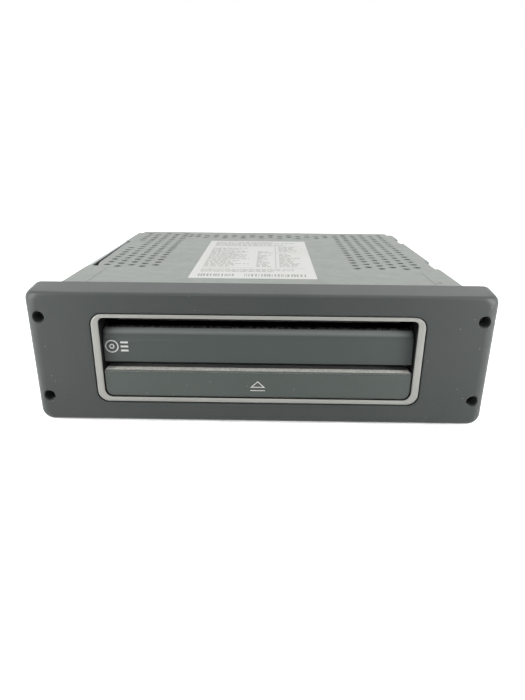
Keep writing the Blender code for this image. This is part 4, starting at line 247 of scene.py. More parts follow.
def add_node(tree, kind, inputs, **settings):
    """Adds a node, sets its properties, and gives each named input a value or a link."""
    made = tree.nodes.new("ShaderNode" + kind)
    for name, value in settings.items():
        setattr(made, name, value)
    for name, value in inputs.items():
        if isinstance(value, bpy.types.NodeSocket):
            tree.links.new(value, made.inputs[name])
        else:
            made.inputs[name].default_value = value
    return made


def per_mm(size):
    """Texture scale whose cells measure that many millimetres."""
    return 1.0 / (size * MM)


def moulded_plastic(name, colour, shade_colour, roughness, grain=0.55, depth=0.035, dust=0.35):
    """ABS or PC moulded in a spark-eroded tool: an even, matt, fine pitted surface. The
    real grain is about 0.1 mm, drawn here at 0.5 mm so that it shows. Handling leaves
    faint cloudy patches, and pale dust specks lie on it 5 mm apart."""
    skin, tree, shader = start_finish(name, 0.0, roughness, IOR=1.5, Specular_IOR_Level=0.4, Sheen_Weight=0.4,
                                      Sheen_Roughness=0.35)
    place = add_node(tree, "TexCoord", {}).outputs["Object"]
    cloud = add_node(tree, "TexNoise", {"Vector": place, "Scale": per_mm(38), "Detail": 3.0}).outputs["Fac"]
    pits = add_node(tree, "TexNoise", {"Vector": place, "Scale": per_mm(grain), "Detail": 2.0}).outputs["Fac"]
    body = add_node(tree, "Mix", {0: cloud, 6: linear(colour), 7: linear(shade_colour)}, data_type="RGBA")
    fleck = add_node(tree, "MapRange", {"Value": pits, "From Min": 0.3, "From Max": 0.7, "To Min": 0.9, "To Max": 1.1})
    toned = add_node(tree, "Mix", {0: 1.0, 6: body.outputs[2], 7: fleck.outputs[0]}, data_type="RGBA",
                     blend_type="MULTIPLY")
    cells = add_node(tree, "TexVoronoi", {"Vector": place, "Scale": per_mm(5.0)})
    near = add_node(tree, "MapRange", {"Value": cells.outputs["Distance"], "From Min": 0.035, "From Max": 0.05,
                                       "To Min": dust, "To Max": 0.0})
    some = add_node(tree, "Math", {0: cells.outputs["Color"], 1: 0.55}, operation="GREATER_THAN")
    speck = add_node(tree, "Math", {0: near.outputs[0], 1: some.outputs[0]}, operation="MULTIPLY")
    dusty = add_node(tree, "Mix", {0: speck.outputs[0], 6: toned.outputs[2], 7: linear("#B9B7B0")}, data_type="RGBA")
    tree.links.new(dusty.outputs[2], shader.inputs["Base Color"])
    worn = add_node(tree, "MapRange", {"Value": cloud, "From Min": 0.3, "From Max": 0.7,
                                       "To Min": roughness - 0.06, "To Max": roughness + 0.06})
    tree.links.new(worn.outputs[0], shader.inputs["Roughness"])
    relief = add_node(tree, "Bump", {"Height": pits, "Strength": 0.35, "Distance": depth * MM})
    tree.links.new(relief.outputs[0], shader.inputs["Normal"])
    return skin


def edge_drop(depth, radius):
    """How far a quarter-round edge is drawn in at a depth behind the front face."""
    rest = np.clip(1.0 - depth / radius, 0.0, 1.0)
    return radius * (1.0 - math.sqrt(1.0 - rest * rest))


def fascia_ring(depth, inset=0.0, face_inset=0.0):
    """Fascia outline at a depth, drawn in by its three edge rounds and by an inset."""
    side, low, high = [edge_drop(depth, radius) + inset + face_inset for radius in FASCIA_ROUNDS]
    top = FASCIA_HEIGHT + FASCIA_DRAFT * depth / FASCIA_DEPTH
    outline = rounded_contour(FASCIA_HALF - side, low, top - high, FASCIA_CORNER - inset)
    return seen_from_front(*outline.T, FRONT + depth)


def window_ring(grow, depth):
    """Window outline grown by a margin, at a depth behind the front face."""
    outline = rounded_contour(WINDOW_HALF + grow, WINDOW_LOW - grow, WINDOW_HIGH + grow, WINDOW_CORNER + grow, None,
                              WINDOW_X)
    return seen_from_front(*outline.T, FRONT + depth)


def seat_ring(grow, depth):
    """Outline of the trim ring's seat at a depth behind the front face, grown by a gap
    that is 1.8 times as wide along the bottom, where the seam shows darkest."""
    outline = rounded_contour(RING_HALF + grow, RING_LOW - 1.8 * grow, RING_HIGH + grow, RING_CORNER + grow, None,
                              WINDOW_X)
    return seen_from_front(*outline.T, FRONT + depth)


charcoal_abs = moulded_plastic("moulded_charcoal_abs", "#313434", "#2C322F", 0.52)
round_depths = FASCIA_ROUNDS[0] * (1.0 - np.cos(np.linspace(0.0, math.pi / 2, 15)))
rings = [fascia_ring(0.0, 0.0, 0.6 * MM)] + [fascia_ring(depth) for depth in round_depths]
rings += [fascia_ring(FASCIA_DEPTH - 0.3 * MM), fascia_ring(FASCIA_DEPTH, 0.3 * MM)]
rings += [fascia_ring(depth, FASCIA_WALL) for depth in (FASCIA_DEPTH, 5.5 * MM, FASCIA_WALL)]
rings += [window_ring(2.6 * MM, FASCIA_WALL), window_ring(2.6 * MM, 10.0 * MM), window_ring(SKIRT_GROW, 10.0 * MM)]
rings += [window_ring(SKIRT_GROW, SEAT_DEPTH), seat_ring(0.5 * MM, SEAT_DEPTH), seat_ring(0.5 * MM, 0.12 * MM)]
rings += [seat_ring(0.54 * MM, 0.04 * MM), seat_ring(0.62 * MM, 0.0), seat_ring(1.4 * MM, 0.0)]
fascia = make_piece("fascia_moulding", [swept(rings, closed=True)], "chassis", charcoal_abs,
                    ["front_fascia"])
screw_places = [(x, z) for x in (-HOLE_X, HOLE_X) for z in HOLE_ROWS]
boss = [(4.0 * MM, RIB_ROOT), (4.0 * MM, FRONT + 12.8 * MM), (3.8 * MM, FRONT + FASCIA_DEPTH)]
carve(fascia, [turned(boss, place, seen_from_front) for place in screw_places], "UNION")
braces = []
for side in (-1, 1):
    across = sorted((WINDOW_X + side * 70.2 * MM, side * 98.7 * MM))
    for middle in (21.4 * MM, 38.1 * MM):
        braces.append(block(across, (RIB_ROOT, FRONT + 8.8 * MM), (middle - 0.6 * MM, middle + 0.6 * MM)))
carve(fascia, braces, "UNION")
clips = []
for side in (-1, 1):
    inner, outer, hook = side * 86.3 * MM, side * 87.9 * MM, side * 89.1 * MM
    outline = np.array([(inner, RIB_ROOT), (outer, RIB_ROOT), (outer, CLIP_TIP - 2.8 * MM),
                        (hook, CLIP_TIP - 2.8 * MM), (outer, CLIP_TIP), (inner, CLIP_TIP)])
    clips.append(slab([outline], seen_from_top, CLIP_LOW, CLIP_HIGH))
carve(fascia, clips, "UNION")
bore = [(2.9 * MM, FRONT - 2.0 * MM), (2.9 * MM, FRONT), (2.6 * MM, FRONT + 0.3 * MM), (2.45 * MM, FRONT + 0.9 * MM),
        (2.45 * MM, FRONT + 6.5 * MM), (1.7 * MM, FRONT + 7.3 * MM), (1.7 * MM, FRONT + 15.0 * MM)]
carve(fascia, [turned(bore, place, seen_from_front) for place in screw_places], "DIFFERENCE")

# TRIM RING
# A frame set in the fascia's step round the window, with satin silver lacquer on its face;
# behind its face the frame is near black. Its side bands are wider than its top and bottom
# ones, and its skirt runs back through the window to hold it.
RING_ROUND = 0.45 * MM
RING_BAND = 3.2 * MM
RING_FLAT = 2.0 * MM
RING_TOP_SHARE = 0.85
RING_PROUD = 0.4 * MM
RING_BACK = 10.0 * MM


def silver_finish():
    """Silver lacquer: an even satin grey, slightly yellow and worn a little brighter in patches.
    It ends level with the fascia's face; behind that the ring is near black (#141415) and
    not metallic, which darkens its window wall and the seam round it."""
    skin, tree, shader = start_finish("satin_silver_lacquer", 0.4, 0.4)
    place = add_node(tree, "TexCoord", {}).outputs["Object"]
    depth = add_node(tree, "SeparateXYZ", {0: place}).outputs["Y"]
    # Behind the front face the ring turns near black and not metallic, darkening its window wall and the seam.
    bare = add_node(tree, "MapRange", {"Value": depth, "From Min": FRONT, "From Max": FRONT + 0.12 * MM})
    rub = add_node(tree, "TexNoise", {"Vector": place, "Scale": per_mm(26), "Detail": 4.0}).outputs["Fac"]
    lacquer = add_node(tree, "Mix", {0: rub, 6: linear("#878783"), 7: linear("#979792")}, data_type="RGBA")
    tone = add_node(tree, "Mix", {0: bare.outputs[0], 6: lacquer.outputs[2], 7: linear("#141415")}, data_type="RGBA")
    tree.links.new(tone.outputs[2], shader.inputs["Base Color"])
    metal = add_node(tree, "MapRange", {"Value": bare.outputs[0], "To Min": 0.4, "To Max": 0.0})
    tree.links.new(metal.outputs[0], shader.inputs["Metallic"])
    grit = add_node(tree, "TexNoise", {"Vector": place, "Scale": per_mm(0.5), "Detail": 2.0}).outputs["Fac"]
    relief = add_node(tree, "Bump", {"Height": grit, "Strength": 0.12, "Distance": 0.02 * MM})
    tree.links.new(relief.outputs[0], shader.inputs["Normal"])
    soft = add_node(tree, "MapRange", {"Value": rub, "To Min": 0.28, "To Max": 0.44})
    tree.links.new(soft.outputs[0], shader.inputs["Roughness"])
    return skin


def frame_ring(side, flat, depth):
    """Ring outline drawn in by one amount at its sides and another at top and bottom."""
    low_radius, top_radius = RING_CORNER - 0.7 * flat, RING_CORNER - 1.4 * flat
    top = RING_HIGH - RING_TOP_SHARE * flat
    outline = rounded_contour(RING_HALF - side, RING_LOW + flat, top, low_radius, top_radius, WINDOW_X)
    return seen_from_front(*outline.T, FRONT + depth)


satin_silver = silver_finish()
quarter = np.linspace(0.0, math.pi / 2, 5)
rounding = [(RING_ROUND * (1.0 - math.cos(turn)), RING_ROUND * (1.0 - math.sin(turn)) - RING_PROUD) for turn in quarter]
rings = [frame_ring(0.0, 0.0, 0.8 * MM)] + [frame_ring(inset, inset, depth) for inset, depth in rounding]
rings += [frame_ring(RING_BAND - inset, RING_FLAT - inset, depth) for inset, depth in rounding[::-1]]
rings += [frame_ring(RING_BAND, RING_FLAT, RING_BACK - 0.2 * MM),
          frame_ring(RING_BAND - 0.2 * MM, RING_FLAT - 0.2 * MM, RING_BACK)]
rings += [frame_ring(2.1 * MM, 0.9 * MM, RING_BACK), frame_ring(2.1 * MM, 0.9 * MM, 0.8 * MM)]
make_piece("silver_trim_ring", [swept(rings, closed=True)], "chassis", satin_silver, ["trim_ring"])

# SLOT PANEL AND DUST SEAL
# The dark insert behind the ring: a back plate with the disc slot, and a panel below the
# slot whose top edge is rolled back and covered in flock, so that a disc isn't scratched.
# From the crest up, panel and plate are painted near black, partly black flock and partly
# painted shade inside the slot. A felt strip behind the plate keeps dust out.
PANEL_FRONT = FRONT + 3.0 * MM
PLATE_FRONT = FRONT + 10.3 * MM
PLATE_BACK = FRONT + 12.3 * MM
PANEL_LOW = 27.75 * MM
SLOT_LOW = 44.0 * MM
SLOT_HIGH = 48.6 * MM
ROLL = 4.0 * MM
PANEL_HALF = WINDOW_HALF - 0.05 * MM
POST_X, POST_LEVEL = 40.0 * MM, 18.55 * MM


def panel_plastic():
    """Near-black ABS with a fine grain, with a painted highlight: a paler band along the roll.
    From just below the crest, 43 mm up, short black flock covers it, with pale lint on its
    edge; its near-black tone is partly painted shade inside the slot."""
    skin, tree, shader = start_finish("black_abs_painted_highlight_and_shaded_flock", 0.0, 0.5, IOR=1.5)
    place = add_node(tree, "TexCoord", {}).outputs["Object"]
    height = add_node(tree, "SeparateXYZ", {0: place}).outputs["Z"]
    cloud = add_node(tree, "TexNoise", {"Vector": place, "Scale": per_mm(45), "Detail": 3.0}).outputs["Fac"]
    pits = add_node(tree, "TexNoise", {"Vector": place, "Scale": per_mm(0.5), "Detail": 2.0}).outputs["Fac"]
    fibre = add_node(tree, "TexNoise", {"Vector": place, "Scale": per_mm(0.9), "Detail": 5.0, "Roughness": 0.7})
    ragged = add_node(tree, "MapRange", {"Value": fibre.outputs["Fac"], "To Min": -0.4 * MM, "To Max": 0.4 * MM})
    edge = add_node(tree, "Math", {0: height, 1: ragged.outputs[0]})
    # Painted shade: from about 43 mm up, panel and plate are near black (#050506), partly black flock and partly the
    # shadow inside the slot.
    flock = add_node(tree, "MapRange", {"Value": edge.outputs[0], "From Min": 42.9 * MM, "From Max": 43.3 * MM})
    moulded = add_node(tree, "Mix", {0: cloud, 6: linear("#3C433F"), 7: linear("#373D3C")}, data_type="RGBA")
    # Painted highlight: from 40.4 mm up the roll is painted paler (#656A68), where light from above would catch it.
    painted_highlight_band = add_node(tree, "MapRange", {"Value": height, "From Min": 40.4 * MM, "From Max": 41.6 * MM})
    plain = add_node(tree, "Mix", {0: painted_highlight_band.outputs[0], 6: moulded.outputs[2], 7: linear("#656A68")}, data_type="RGBA")
    far = add_node(tree, "MapRange", {"Value": height, "From Min": 43.2 * MM, "From Max": 43.95 * MM,
                                      "To Min": 0.55, "To Max": 0.0})
    lint = add_node(tree, "MapRange", {"Value": fibre.outputs["Fac"], "From Min": 0.45, "From Max": 0.7,
                                       "To Max": far.outputs[0]})
    shaded_flock_tone = add_node(tree, "Mix", {0: lint.outputs[0], 6: linear("#050506"), 7: linear("#8E8E8A")}, data_type="RGBA")
    body = add_node(tree, "Mix", {0: flock.outputs[0], 6: plain.outputs[2], 7: shaded_flock_tone.outputs[2]}, data_type="RGBA")
    tree.links.new(body.outputs[2], shader.inputs["Base Color"])
    matt = add_node(tree, "MapRange", {"Value": flock.outputs[0], "To Min": 0.48, "To Max": 0.95})
    tree.links.new(matt.outputs[0], shader.inputs["Roughness"])
    gloss = add_node(tree, "MapRange", {"Value": flock.outputs[0], "To Min": 0.4, "To Max": 0.0})
    tree.links.new(gloss.outputs[0], shader.inputs["Specular IOR Level"])
    grain = add_node(tree, "Mix", {0: flock.outputs[0], 2: pits, 3: fibre.outputs["Fac"]})
    relief = add_node(tree, "Bump", {"Height": grain.outputs[0], "Strength": 0.4, "Distance": 0.06 * MM})
    tree.links.new(relief.outputs[0], shader.inputs["Normal"])
    return skin


def flock_finish(name, colour, lint_colour, lint_amount):
    """Felt or flock: short matt fibres, clumped about 0.8 mm apart, with pale lint."""
    skin, tree, shader = start_finish(name, 0.0, 1.0, Sheen_Weight=0.25, Sheen_Roughness=0.5)
    place = add_node(tree, "TexCoord", {}).outputs["Object"]
    fibre = add_node(tree, "TexNoise", {"Vector": place, "Scale": per_mm(0.8), "Detail": 5.0}).outputs["Fac"]
    lint = add_node(tree, "MapRange", {"Value": fibre, "From Min": 0.55, "From Max": 0.75, "To Max": lint_amount})
    tone = add_node(tree, "Mix", {0: lint.outputs[0], 6: linear(colour), 7: linear(lint_colour)}, data_type="RGBA")
    tree.links.new(tone.outputs[2], shader.inputs["Base Color"])
    relief = add_node(tree, "Bump", {"Height": fibre, "Strength": 0.8, "Distance": 0.2 * MM})
    tree.links.new(relief.outputs[0], shader.inputs["Normal"])
    return skin


def box_outline(x0, x1, z0, z1):
    """Corners of a rectangle, counter-clockwise."""
    return np.array([(x0, z0), (x1, z0), (x1, z1), (x0, z1)])


def circle(x, z, radius, steps=24):
    """Points of a circle: centre + radius * (cos t, sin t)."""
    angle = np.linspace(0.0, 2 * math.pi, steps, endpoint=False)
    return np.stack([x + radius * np.cos(angle), z + radius * np.sin(angle)], axis=1)


def panel_ring(turn):
    """Panel outline at one turn of its rolled top edge: it lies roll * (1 - cos t) behind
    the front, and its top and ends are drawn in by a share of roll * (1 - sin t)."""
    inset = 1.0 - math.sin(turn)
    outline = rounded_contour(PANEL_HALF - 0.4 * MM * inset, PANEL_LOW, SLOT_LOW - ROLL * inset, 0.5 * MM, 2.8 * MM,
                              WINDOW_X)
    return seen_from_front(*outline.T, PANEL_FRONT + ROLL * (1.0 - math.cos(turn)))


flocked_abs_painted_light = panel_plastic()
panel_rings = [panel_ring(turn) for turn in np.linspace(0.0, math.pi / 2, 11)]
panel_end = panel_rings[-1].copy()
panel_end[:, 1] = PLATE_FRONT + 0.2 * MM
panel = swept([*panel_rings, panel_end])
plate_outline = rounded_contour(WINDOW_HALF + 1.1 * MM, WINDOW_LOW - 1.1 * MM, WINDOW_HIGH + 1.1 * MM, WINDOW_CORNER,
                                None, WINDOW_X)
slot_outline = box_outline(WINDOW_X - 63.5 * MM, WINDOW_X + 63.5 * MM, SLOT_LOW, SLOT_HIGH)
switch_window = box_outline(WINDOW_X - 33.0 * MM, WINDOW_X + 33.0 * MM, 16.2 * MM, 20.9 * MM)
post_holes = [circle(WINDOW_X + side * POST_X, POST_LEVEL, 1.9 * MM) for side in (-1, 1)]
plate = slab([plate_outline, slot_outline, switch_window, *post_holes], seen_from_front, PLATE_FRONT, PLATE_BACK)
board_bosses = [turned([(2.3 * MM, PLATE_BACK - 0.3 * MM), (2.3 * MM, PLATE_BACK + 4.9 * MM)],
                       (WINDOW_X + side * 53.0 * MM, POST_LEVEL), seen_from_front, 32) for side in (-1, 1)]
make_piece("slot_panel_painted_light", [panel, plate, *board_bosses], "chassis", flocked_abs_painted_light,
           ["slot_panel"])
seal = slab([box_outline(WINDOW_X - 66.1 * MM, WINDOW_X + 66.1 * MM, SLOT_LOW - 2.6 * MM, SLOT_HIGH + 2.6 * MM),
             box_outline(WINDOW_X - 63.3 * MM, WINDOW_X + 63.3 * MM, SLOT_LOW + 0.2 * MM, SLOT_HIGH - 0.2 * MM)],
            seen_from_front, PLATE_BACK + 0.3 * MM, PLATE_BACK + 1.1 * MM)
black_felt = flock_finish("needled_black_felt", "#1B1B1C", "#5E5E5C", 0.4)
make_piece("dust_seal_felt", [seal], "chassis", black_felt, ["slot_felt"])

# PRINTED MARKS
# Pale grey pad-printed ink, 0.02 mm thick and drawn at 0.04 mm so that it stays clear of the
# plastic: a plain disc sign at the left of the panel, and the usual eject sign, a triangle
# over a bar, on the button below it.
INK = 0.04 * MM


def mottled_finish(name, roughness, colours, size, detail=2.0, relief=None, **settings):
    """A plain finish that drifts between two colours in patches of a size in millimetres,
    which may also stand out as a relief of a strength and a depth in millimetres."""
    skin, tree, shader = start_finish(name, 0.0, roughness, **settings)
    place = add_node(tree, "TexCoord", {}).outputs["Object"]
    patches = add_node(tree, "TexNoise", {"Vector": place, "Scale": per_mm(size), "Detail": detail}).outputs["Fac"]
    tone = add_node(tree, "Mix", {0: patches, 6: linear(colours[0]), 7: linear(colours[1])}, data_type="RGBA")
    tree.links.new(tone.outputs[2], shader.inputs["Base Color"])
    if relief:
        raised = add_node(tree, "Bump", {"Height": patches, "Strength": relief[0], "Distance": relief[1] * MM})
        tree.links.new(raised.outputs[0], shader.inputs["Normal"])
    return skin


# Matt ink, thin enough to let the plastic's 0.5 mm grain show in its tone.
white_ink = mottled_finish("pad_printed_ink", 0.6, ("#C4C6C4", "#E2E3E0"), 0.5)
disc_x, disc_z = -65.1 * MM, 34.8 * MM
ink_run = (PANEL_FRONT - INK, PANEL_FRONT + 0.01 * MM)
disc_sign = [slab([circle(disc_x, disc_z, outer, steps), circle(disc_x, disc_z, inner, inner_steps)], seen_from_front,
                  *ink_run)
             for outer, steps, inner, inner_steps in ((2.95 * MM, 64, 2.45 * MM, 64), (1.15 * MM, 40, 0.6 * MM, 32))]
for level in (-1.9 * MM, 0.0, 1.9 * MM):
    disc_sign.append(slab([box_outline(disc_x + 3.9 * MM, disc_x + 7.2 * MM, disc_z + level - 0.42 * MM,
                                       disc_z + level + 0.42 * MM)], seen_from_front, *ink_run))
make_piece("disc_sign_print", disc_sign, "chassis", white_ink)

# EJECT BUTTON
# One long hollow bar in charcoal ABS across the foot of the window, with a fine rounded
# edge all round and a fine groove under its top edge. Two posts on its back reach through
# the plate to the switches.
BUTTON_FRONT = FRONT + 0.3 * MM
BUTTON_BACK = FRONT + 8.1 * MM
BUTTON_LOW = 12.2 * MM
BUTTON_HIGH = 24.9 * MM
BUTTON_HALF = 67.6 * MM
BUTTON_ROUND = 0.5 * MM
BUTTON_WALL = 1.6 * MM


def button_ring(inset, depth):
    """Button outline drawn in by an inset: upper corners of 1.2 mm and lower ones of 3.4 mm."""
    outline = rounded_contour(BUTTON_HALF - inset, BUTTON_LOW + inset, BUTTON_HIGH - inset, 3.4 * MM - inset,
                              1.2 * MM - inset / 2, WINDOW_X)
    return seen_from_front(*outline.T, depth)


def button_plastic():
    """The fascia's ABS, a shade lighter. Pale lint lies on the bar from 0.15 mm behind its
    front face, partly a painted highlight on the top edge round and the top face; from 3.6 mm
    back the top face is painted near black, as painted shade in the gap under the panel."""
    skin = moulded_plastic("moulded_charcoal_abs_button", "#474D4A", "#424945", 0.5, grain=0.5)
    tree = skin.node_tree
    shader = tree.nodes["Principled BSDF"]
    place = add_node(tree, "TexCoord", {}).outputs["Object"]
    split = add_node(tree, "SeparateXYZ", {0: place})
    wool = add_node(tree, "TexNoise", {"Vector": place, "Scale": per_mm(0.9), "Detail": 5.0, "Roughness": 0.7})
    fibre = wool.outputs["Fac"]
    # Partly painted highlight: from 0.15 mm behind the front face, over the top edge round and top face, pale lint
    # (#B4B2AC) stands for light catching them as well as for real lint.
    depth = add_node(tree, "MapRange", {"Value": split.outputs["Y"], "From Min": BUTTON_FRONT + 0.15 * MM,
                                        "From Max": BUTTON_FRONT + 0.45 * MM})
    lint = add_node(tree, "MapRange", {"Value": fibre, "From Min": 0.36, "From Max": 0.6, "To Min": 0.4, "To Max": 1.0})
    lint_and_painted_highlight = add_node(tree, "Math", {0: depth.outputs[0], 1: lint.outputs[0]}, operation="MULTIPLY")
    below = shader.inputs["Base Color"].links[0].from_socket
    dusty = add_node(tree, "Mix", {0: lint_and_painted_highlight.outputs[0], 6: below, 7: linear("#B4B2AC")}, data_type="RGBA")
    ragged = add_node(tree, "MapRange", {"Value": fibre, "To Min": -0.8 * MM, "To Max": 0.8 * MM})
    edge = add_node(tree, "Math", {0: split.outputs["Y"], 1: ragged.outputs[0]})
    # Painted shade: from 3.6 mm back the top face is painted near black (#060607), standing for the shadow in the gap
    # under the panel.
    back = add_node(tree, "MapRange", {"Value": edge.outputs[0], "From Min": BUTTON_FRONT + 3.3 * MM,
                                       "From Max": BUTTON_FRONT + 3.9 * MM})
    above = add_node(tree, "Math", {0: split.outputs["Z"], 1: BUTTON_HIGH - 0.3 * MM}, operation="GREATER_THAN")
    painted_shade_at_back = add_node(tree, "Math", {0: back.outputs[0], 1: above.outputs[0]}, operation="MULTIPLY")
    tone = add_node(tree, "Mix", {0: painted_shade_at_back.outputs[0], 6: dusty.outputs[2], 7: linear("#060607")}, data_type="RGBA")
    tree.links.new(tone.outputs[2], shader.inputs["Base Color"])
    gloss = add_node(tree, "MapRange", {"Value": painted_shade_at_back.outputs[0], "To Min": 0.4, "To Max": 0.0})
    tree.links.new(gloss.outputs[0], shader.inputs["Specular IOR Level"])
    return skin


charcoal_button = button_plastic()
rings = [button_ring(1.1 * MM, BUTTON_FRONT)]
rings += [button_ring(BUTTON_ROUND * (1.0 - math.sin(turn)), BUTTON_FRONT + BUTTON_ROUND * (1.0 - math.cos(turn)))
          for turn in quarter]
rings += [button_ring(0.0, BUTTON_BACK - 0.2 * MM), button_ring(0.2 * MM, BUTTON_BACK)]
rings += [button_ring(BUTTON_WALL, BUTTON_BACK), button_ring(BUTTON_WALL, BUTTON_FRONT + BUTTON_WALL)]
posts = [turned([(1.5 * MM, BUTTON_FRONT + 1.5 * MM), (1.5 * MM, FRONT + 12.1 * MM), (1.3 * MM, FRONT + 12.3 * MM)],
                (WINDOW_X + side * POST_X, POST_LEVEL), seen_from_front, 32) for side in (-1, 1)]
bar = make_piece("eject_bar", [swept(rings)], "eject_button", charcoal_button, ["eject_button"])
carve(bar, posts, "UNION")
groove = block((WINDOW_X - 66.4 * MM, WINDOW_X + 66.4 * MM), (BUTTON_FRONT - 1.0 * MM, BUTTON_FRONT + 0.35 * MM),
               (BUTTON_HIGH - 0.95 * MM, BUTTON_HIGH - 0.6 * MM), 0.05 * MM)
carve(bar, [groove], "DIFFERENCE")
sign_x, sign_run = -1.0 * MM, (BUTTON_FRONT - INK, BUTTON_FRONT + 0.01 * MM)
outer = np.array([(-3.3, 17.05), (3.3, 17.05), (0.0, 20.2)]) * MM + (sign_x, 0.0)
inner = np.array([(-2.35, 17.4), (2.35, 17.4), (0.0, 19.68)]) * MM + (sign_x, 0.0)
eject_sign = [slab([outer, inner], seen_from_front, *sign_run),
              slab([box_outline(sign_x - 3.3 * MM, sign_x + 3.3 * MM, 15.45 * MM, 15.8 * MM)], seen_from_front,
                   *sign_run)]
make_piece("eject_sign_print", eject_sign, "eject_button", white_ink)

# TOP COVER
# A 0.8 mm sheet of zinc-coated steel, punched with vent holes and folded down at its ears,
# tabs and rear edge to grip the tray. Its edges are bare cuts, and a slit frees each ear.
SHEET = 0.8 * MM
CASE_FRONT = -77.4 * MM
CASE_BACK = 79.8 * MM
CASE_HALF = 89.0 * MM
COVER_TOP = 60.1 * MM
EAR = 90.1 * MM
BEND = 1.1 * MM
EAR_DROP = 20.0 * MM
TAB_DROP = 9.0 * MM


def zinc_steel_finish(name, colour, worn_colour, streaks="X"):
    """Electro-galvanised sheet: pale blue-grey and satin, with rolling lines 0.8 mm apart,
    cloudy passivation, and small stains from handling."""
    skin, tree, shader = start_finish(name, 0.55, 0.42)
    place = add_node(tree, "TexCoord", {}).outputs["Object"]
    stretch = (0.04, 1.0, 1.0) if streaks == "X" else (1.0, 0.04, 1.0)
    lay = add_node(tree, "Mapping", {"Vector": place, "Scale": stretch}).outputs[0]
    rolled = add_node(tree, "TexNoise", {"Vector": lay, "Scale": per_mm(0.8), "Detail": 3.0}).outputs["Fac"]
    cloud = add_node(tree, "TexNoise", {"Vector": place, "Scale": per_mm(55), "Detail": 6.0}).outputs["Fac"]
    stain = add_node(tree, "TexNoise", {"Vector": place, "Scale": per_mm(7), "Detail": 5.0, "Roughness": 0.65})
    body = add_node(tree, "Mix", {0: cloud, 6: linear(colour), 7: linear(worn_colour)}, data_type="RGBA")
    lines = add_node(tree, "MapRange", {"Value": rolled, "From Min": 0.3, "From Max": 0.7,
                                        "To Min": 0.94, "To Max": 1.05})
    lined = add_node(tree, "Mix", {0: 1.0, 6: body.outputs[2], 7: lines.outputs[0]}, data_type="RGBA",
                     blend_type="MULTIPLY")
    spots = add_node(tree, "MapRange", {"Value": stain.outputs["Fac"], "From Min": 0.6, "From Max": 0.75,
                                        "To Max": 0.22})
    marked = add_node(tree, "Mix", {0: spots.outputs[0], 6: lined.outputs[2], 7: linear("#8B8E8B")}, data_type="RGBA")
    tree.links.new(marked.outputs[2], shader.inputs["Base Color"])
    dull = add_node(tree, "MapRange", {"Value": stain.outputs["Fac"], "From Min": 0.3, "From Max": 0.7,
                                       "To Min": 0.36, "To Max": 0.52})
    tree.links.new(dull.outputs[0], shader.inputs["Roughness"])
    relief = add_node(tree, "Bump", {"Height": rolled, "Strength": 0.15, "Distance": 0.02 * MM})
    tree.links.new(relief.outputs[0], shader.inputs["Normal"])
    return skin


def fold(edge, side, top, drop, run, thickness=SHEET):
    """A folded-down edge along Y, seen from the front: an outer quarter bend of 1.1 mm, the
    drop, and the same bend on the inside, carried from run[0] to run[1]."""
    turn = np.linspace(math.pi / 2, 0.0, 9)
    centre = (edge - BEND, top - BEND)
    outer = np.stack([centre[0] + BEND * np.cos(turn), centre[1] + BEND * np.sin(turn)], axis=1)
    lip = np.array([(edge, top - drop), (edge - thickness, top - drop)])
    small = BEND - thickness
    inner = np.stack([centre[0] + small * np.cos(turn[::-1]), centre[1] + small * np.sin(turn[::-1])], axis=1)
    outline = np.concatenate([outer, lip, inner]) * (side, 1.0)
    return slab([outline], seen_from_front, *run)


def bead(x, y, half=0.9 * MM, rise=0.3 * MM):
    """Stiffening bead along a line of (x, y) points: each cross-section is a half ellipse
    over the sheet, closed below it, and it shrinks to a small round at both ends."""
    angle = np.linspace(0.0, 2 * math.pi, 16, endpoint=False)
    ends = np.sqrt(np.clip(np.minimum(np.arange(len(x)), np.arange(len(x))[::-1]) / 3.0, 0.04, 1.0))[:, None]
    across = x[:, None] + half * ends * np.cos(angle)
    lift = COVER_TOP + rise * ends * np.maximum(np.sin(angle), -0.4)
    return swept(np.stack([across, np.broadcast_to(y[:, None], across.shape), lift], axis=-1))


def vent_holes():
    """Centres of the vent holes: columns 6.2 mm apart, every second one shifted by half of
    the 7.1 mm pitch, in a field at each side and a band of two rows at the rear. The
    outermost left column leaves out three holes beside the tab."""
    pitch_x, pitch_y = 6.2 * MM, 7.1 * MM
    rows = np.arange(16)
    groups = []
    for first, columns, phase in ((-79.7 * MM, 5, 1), (47.9 * MM, 6, 0)):
        column, row = np.meshgrid(np.arange(columns), rows)
        shift = pitch_y / 2 * ((column + phase) % 2)
        field = np.stack([first + column * pitch_x, CASE_FRONT + 38.5 * MM + shift + row * pitch_y], axis=-1)
        groups.append(field[(column > 0) | (row < 8) | (row > 10) | (first > 0)])
    column, row = np.meshgrid(np.arange(15), np.arange(2))
    y = CASE_BACK - 13.0 * MM - pitch_y / 2 * (column % 2) - row * pitch_y
    groups.append(np.stack([-45.7 * MM + column * pitch_x, y], axis=-1).reshape(-1, 2))
    groups.append(np.array([(-50.6 * MM, CASE_BACK - 13.0 * MM), (-50.6 * MM, CASE_BACK - 13.0 * MM - pitch_y)]))
    return np.concatenate(groups)


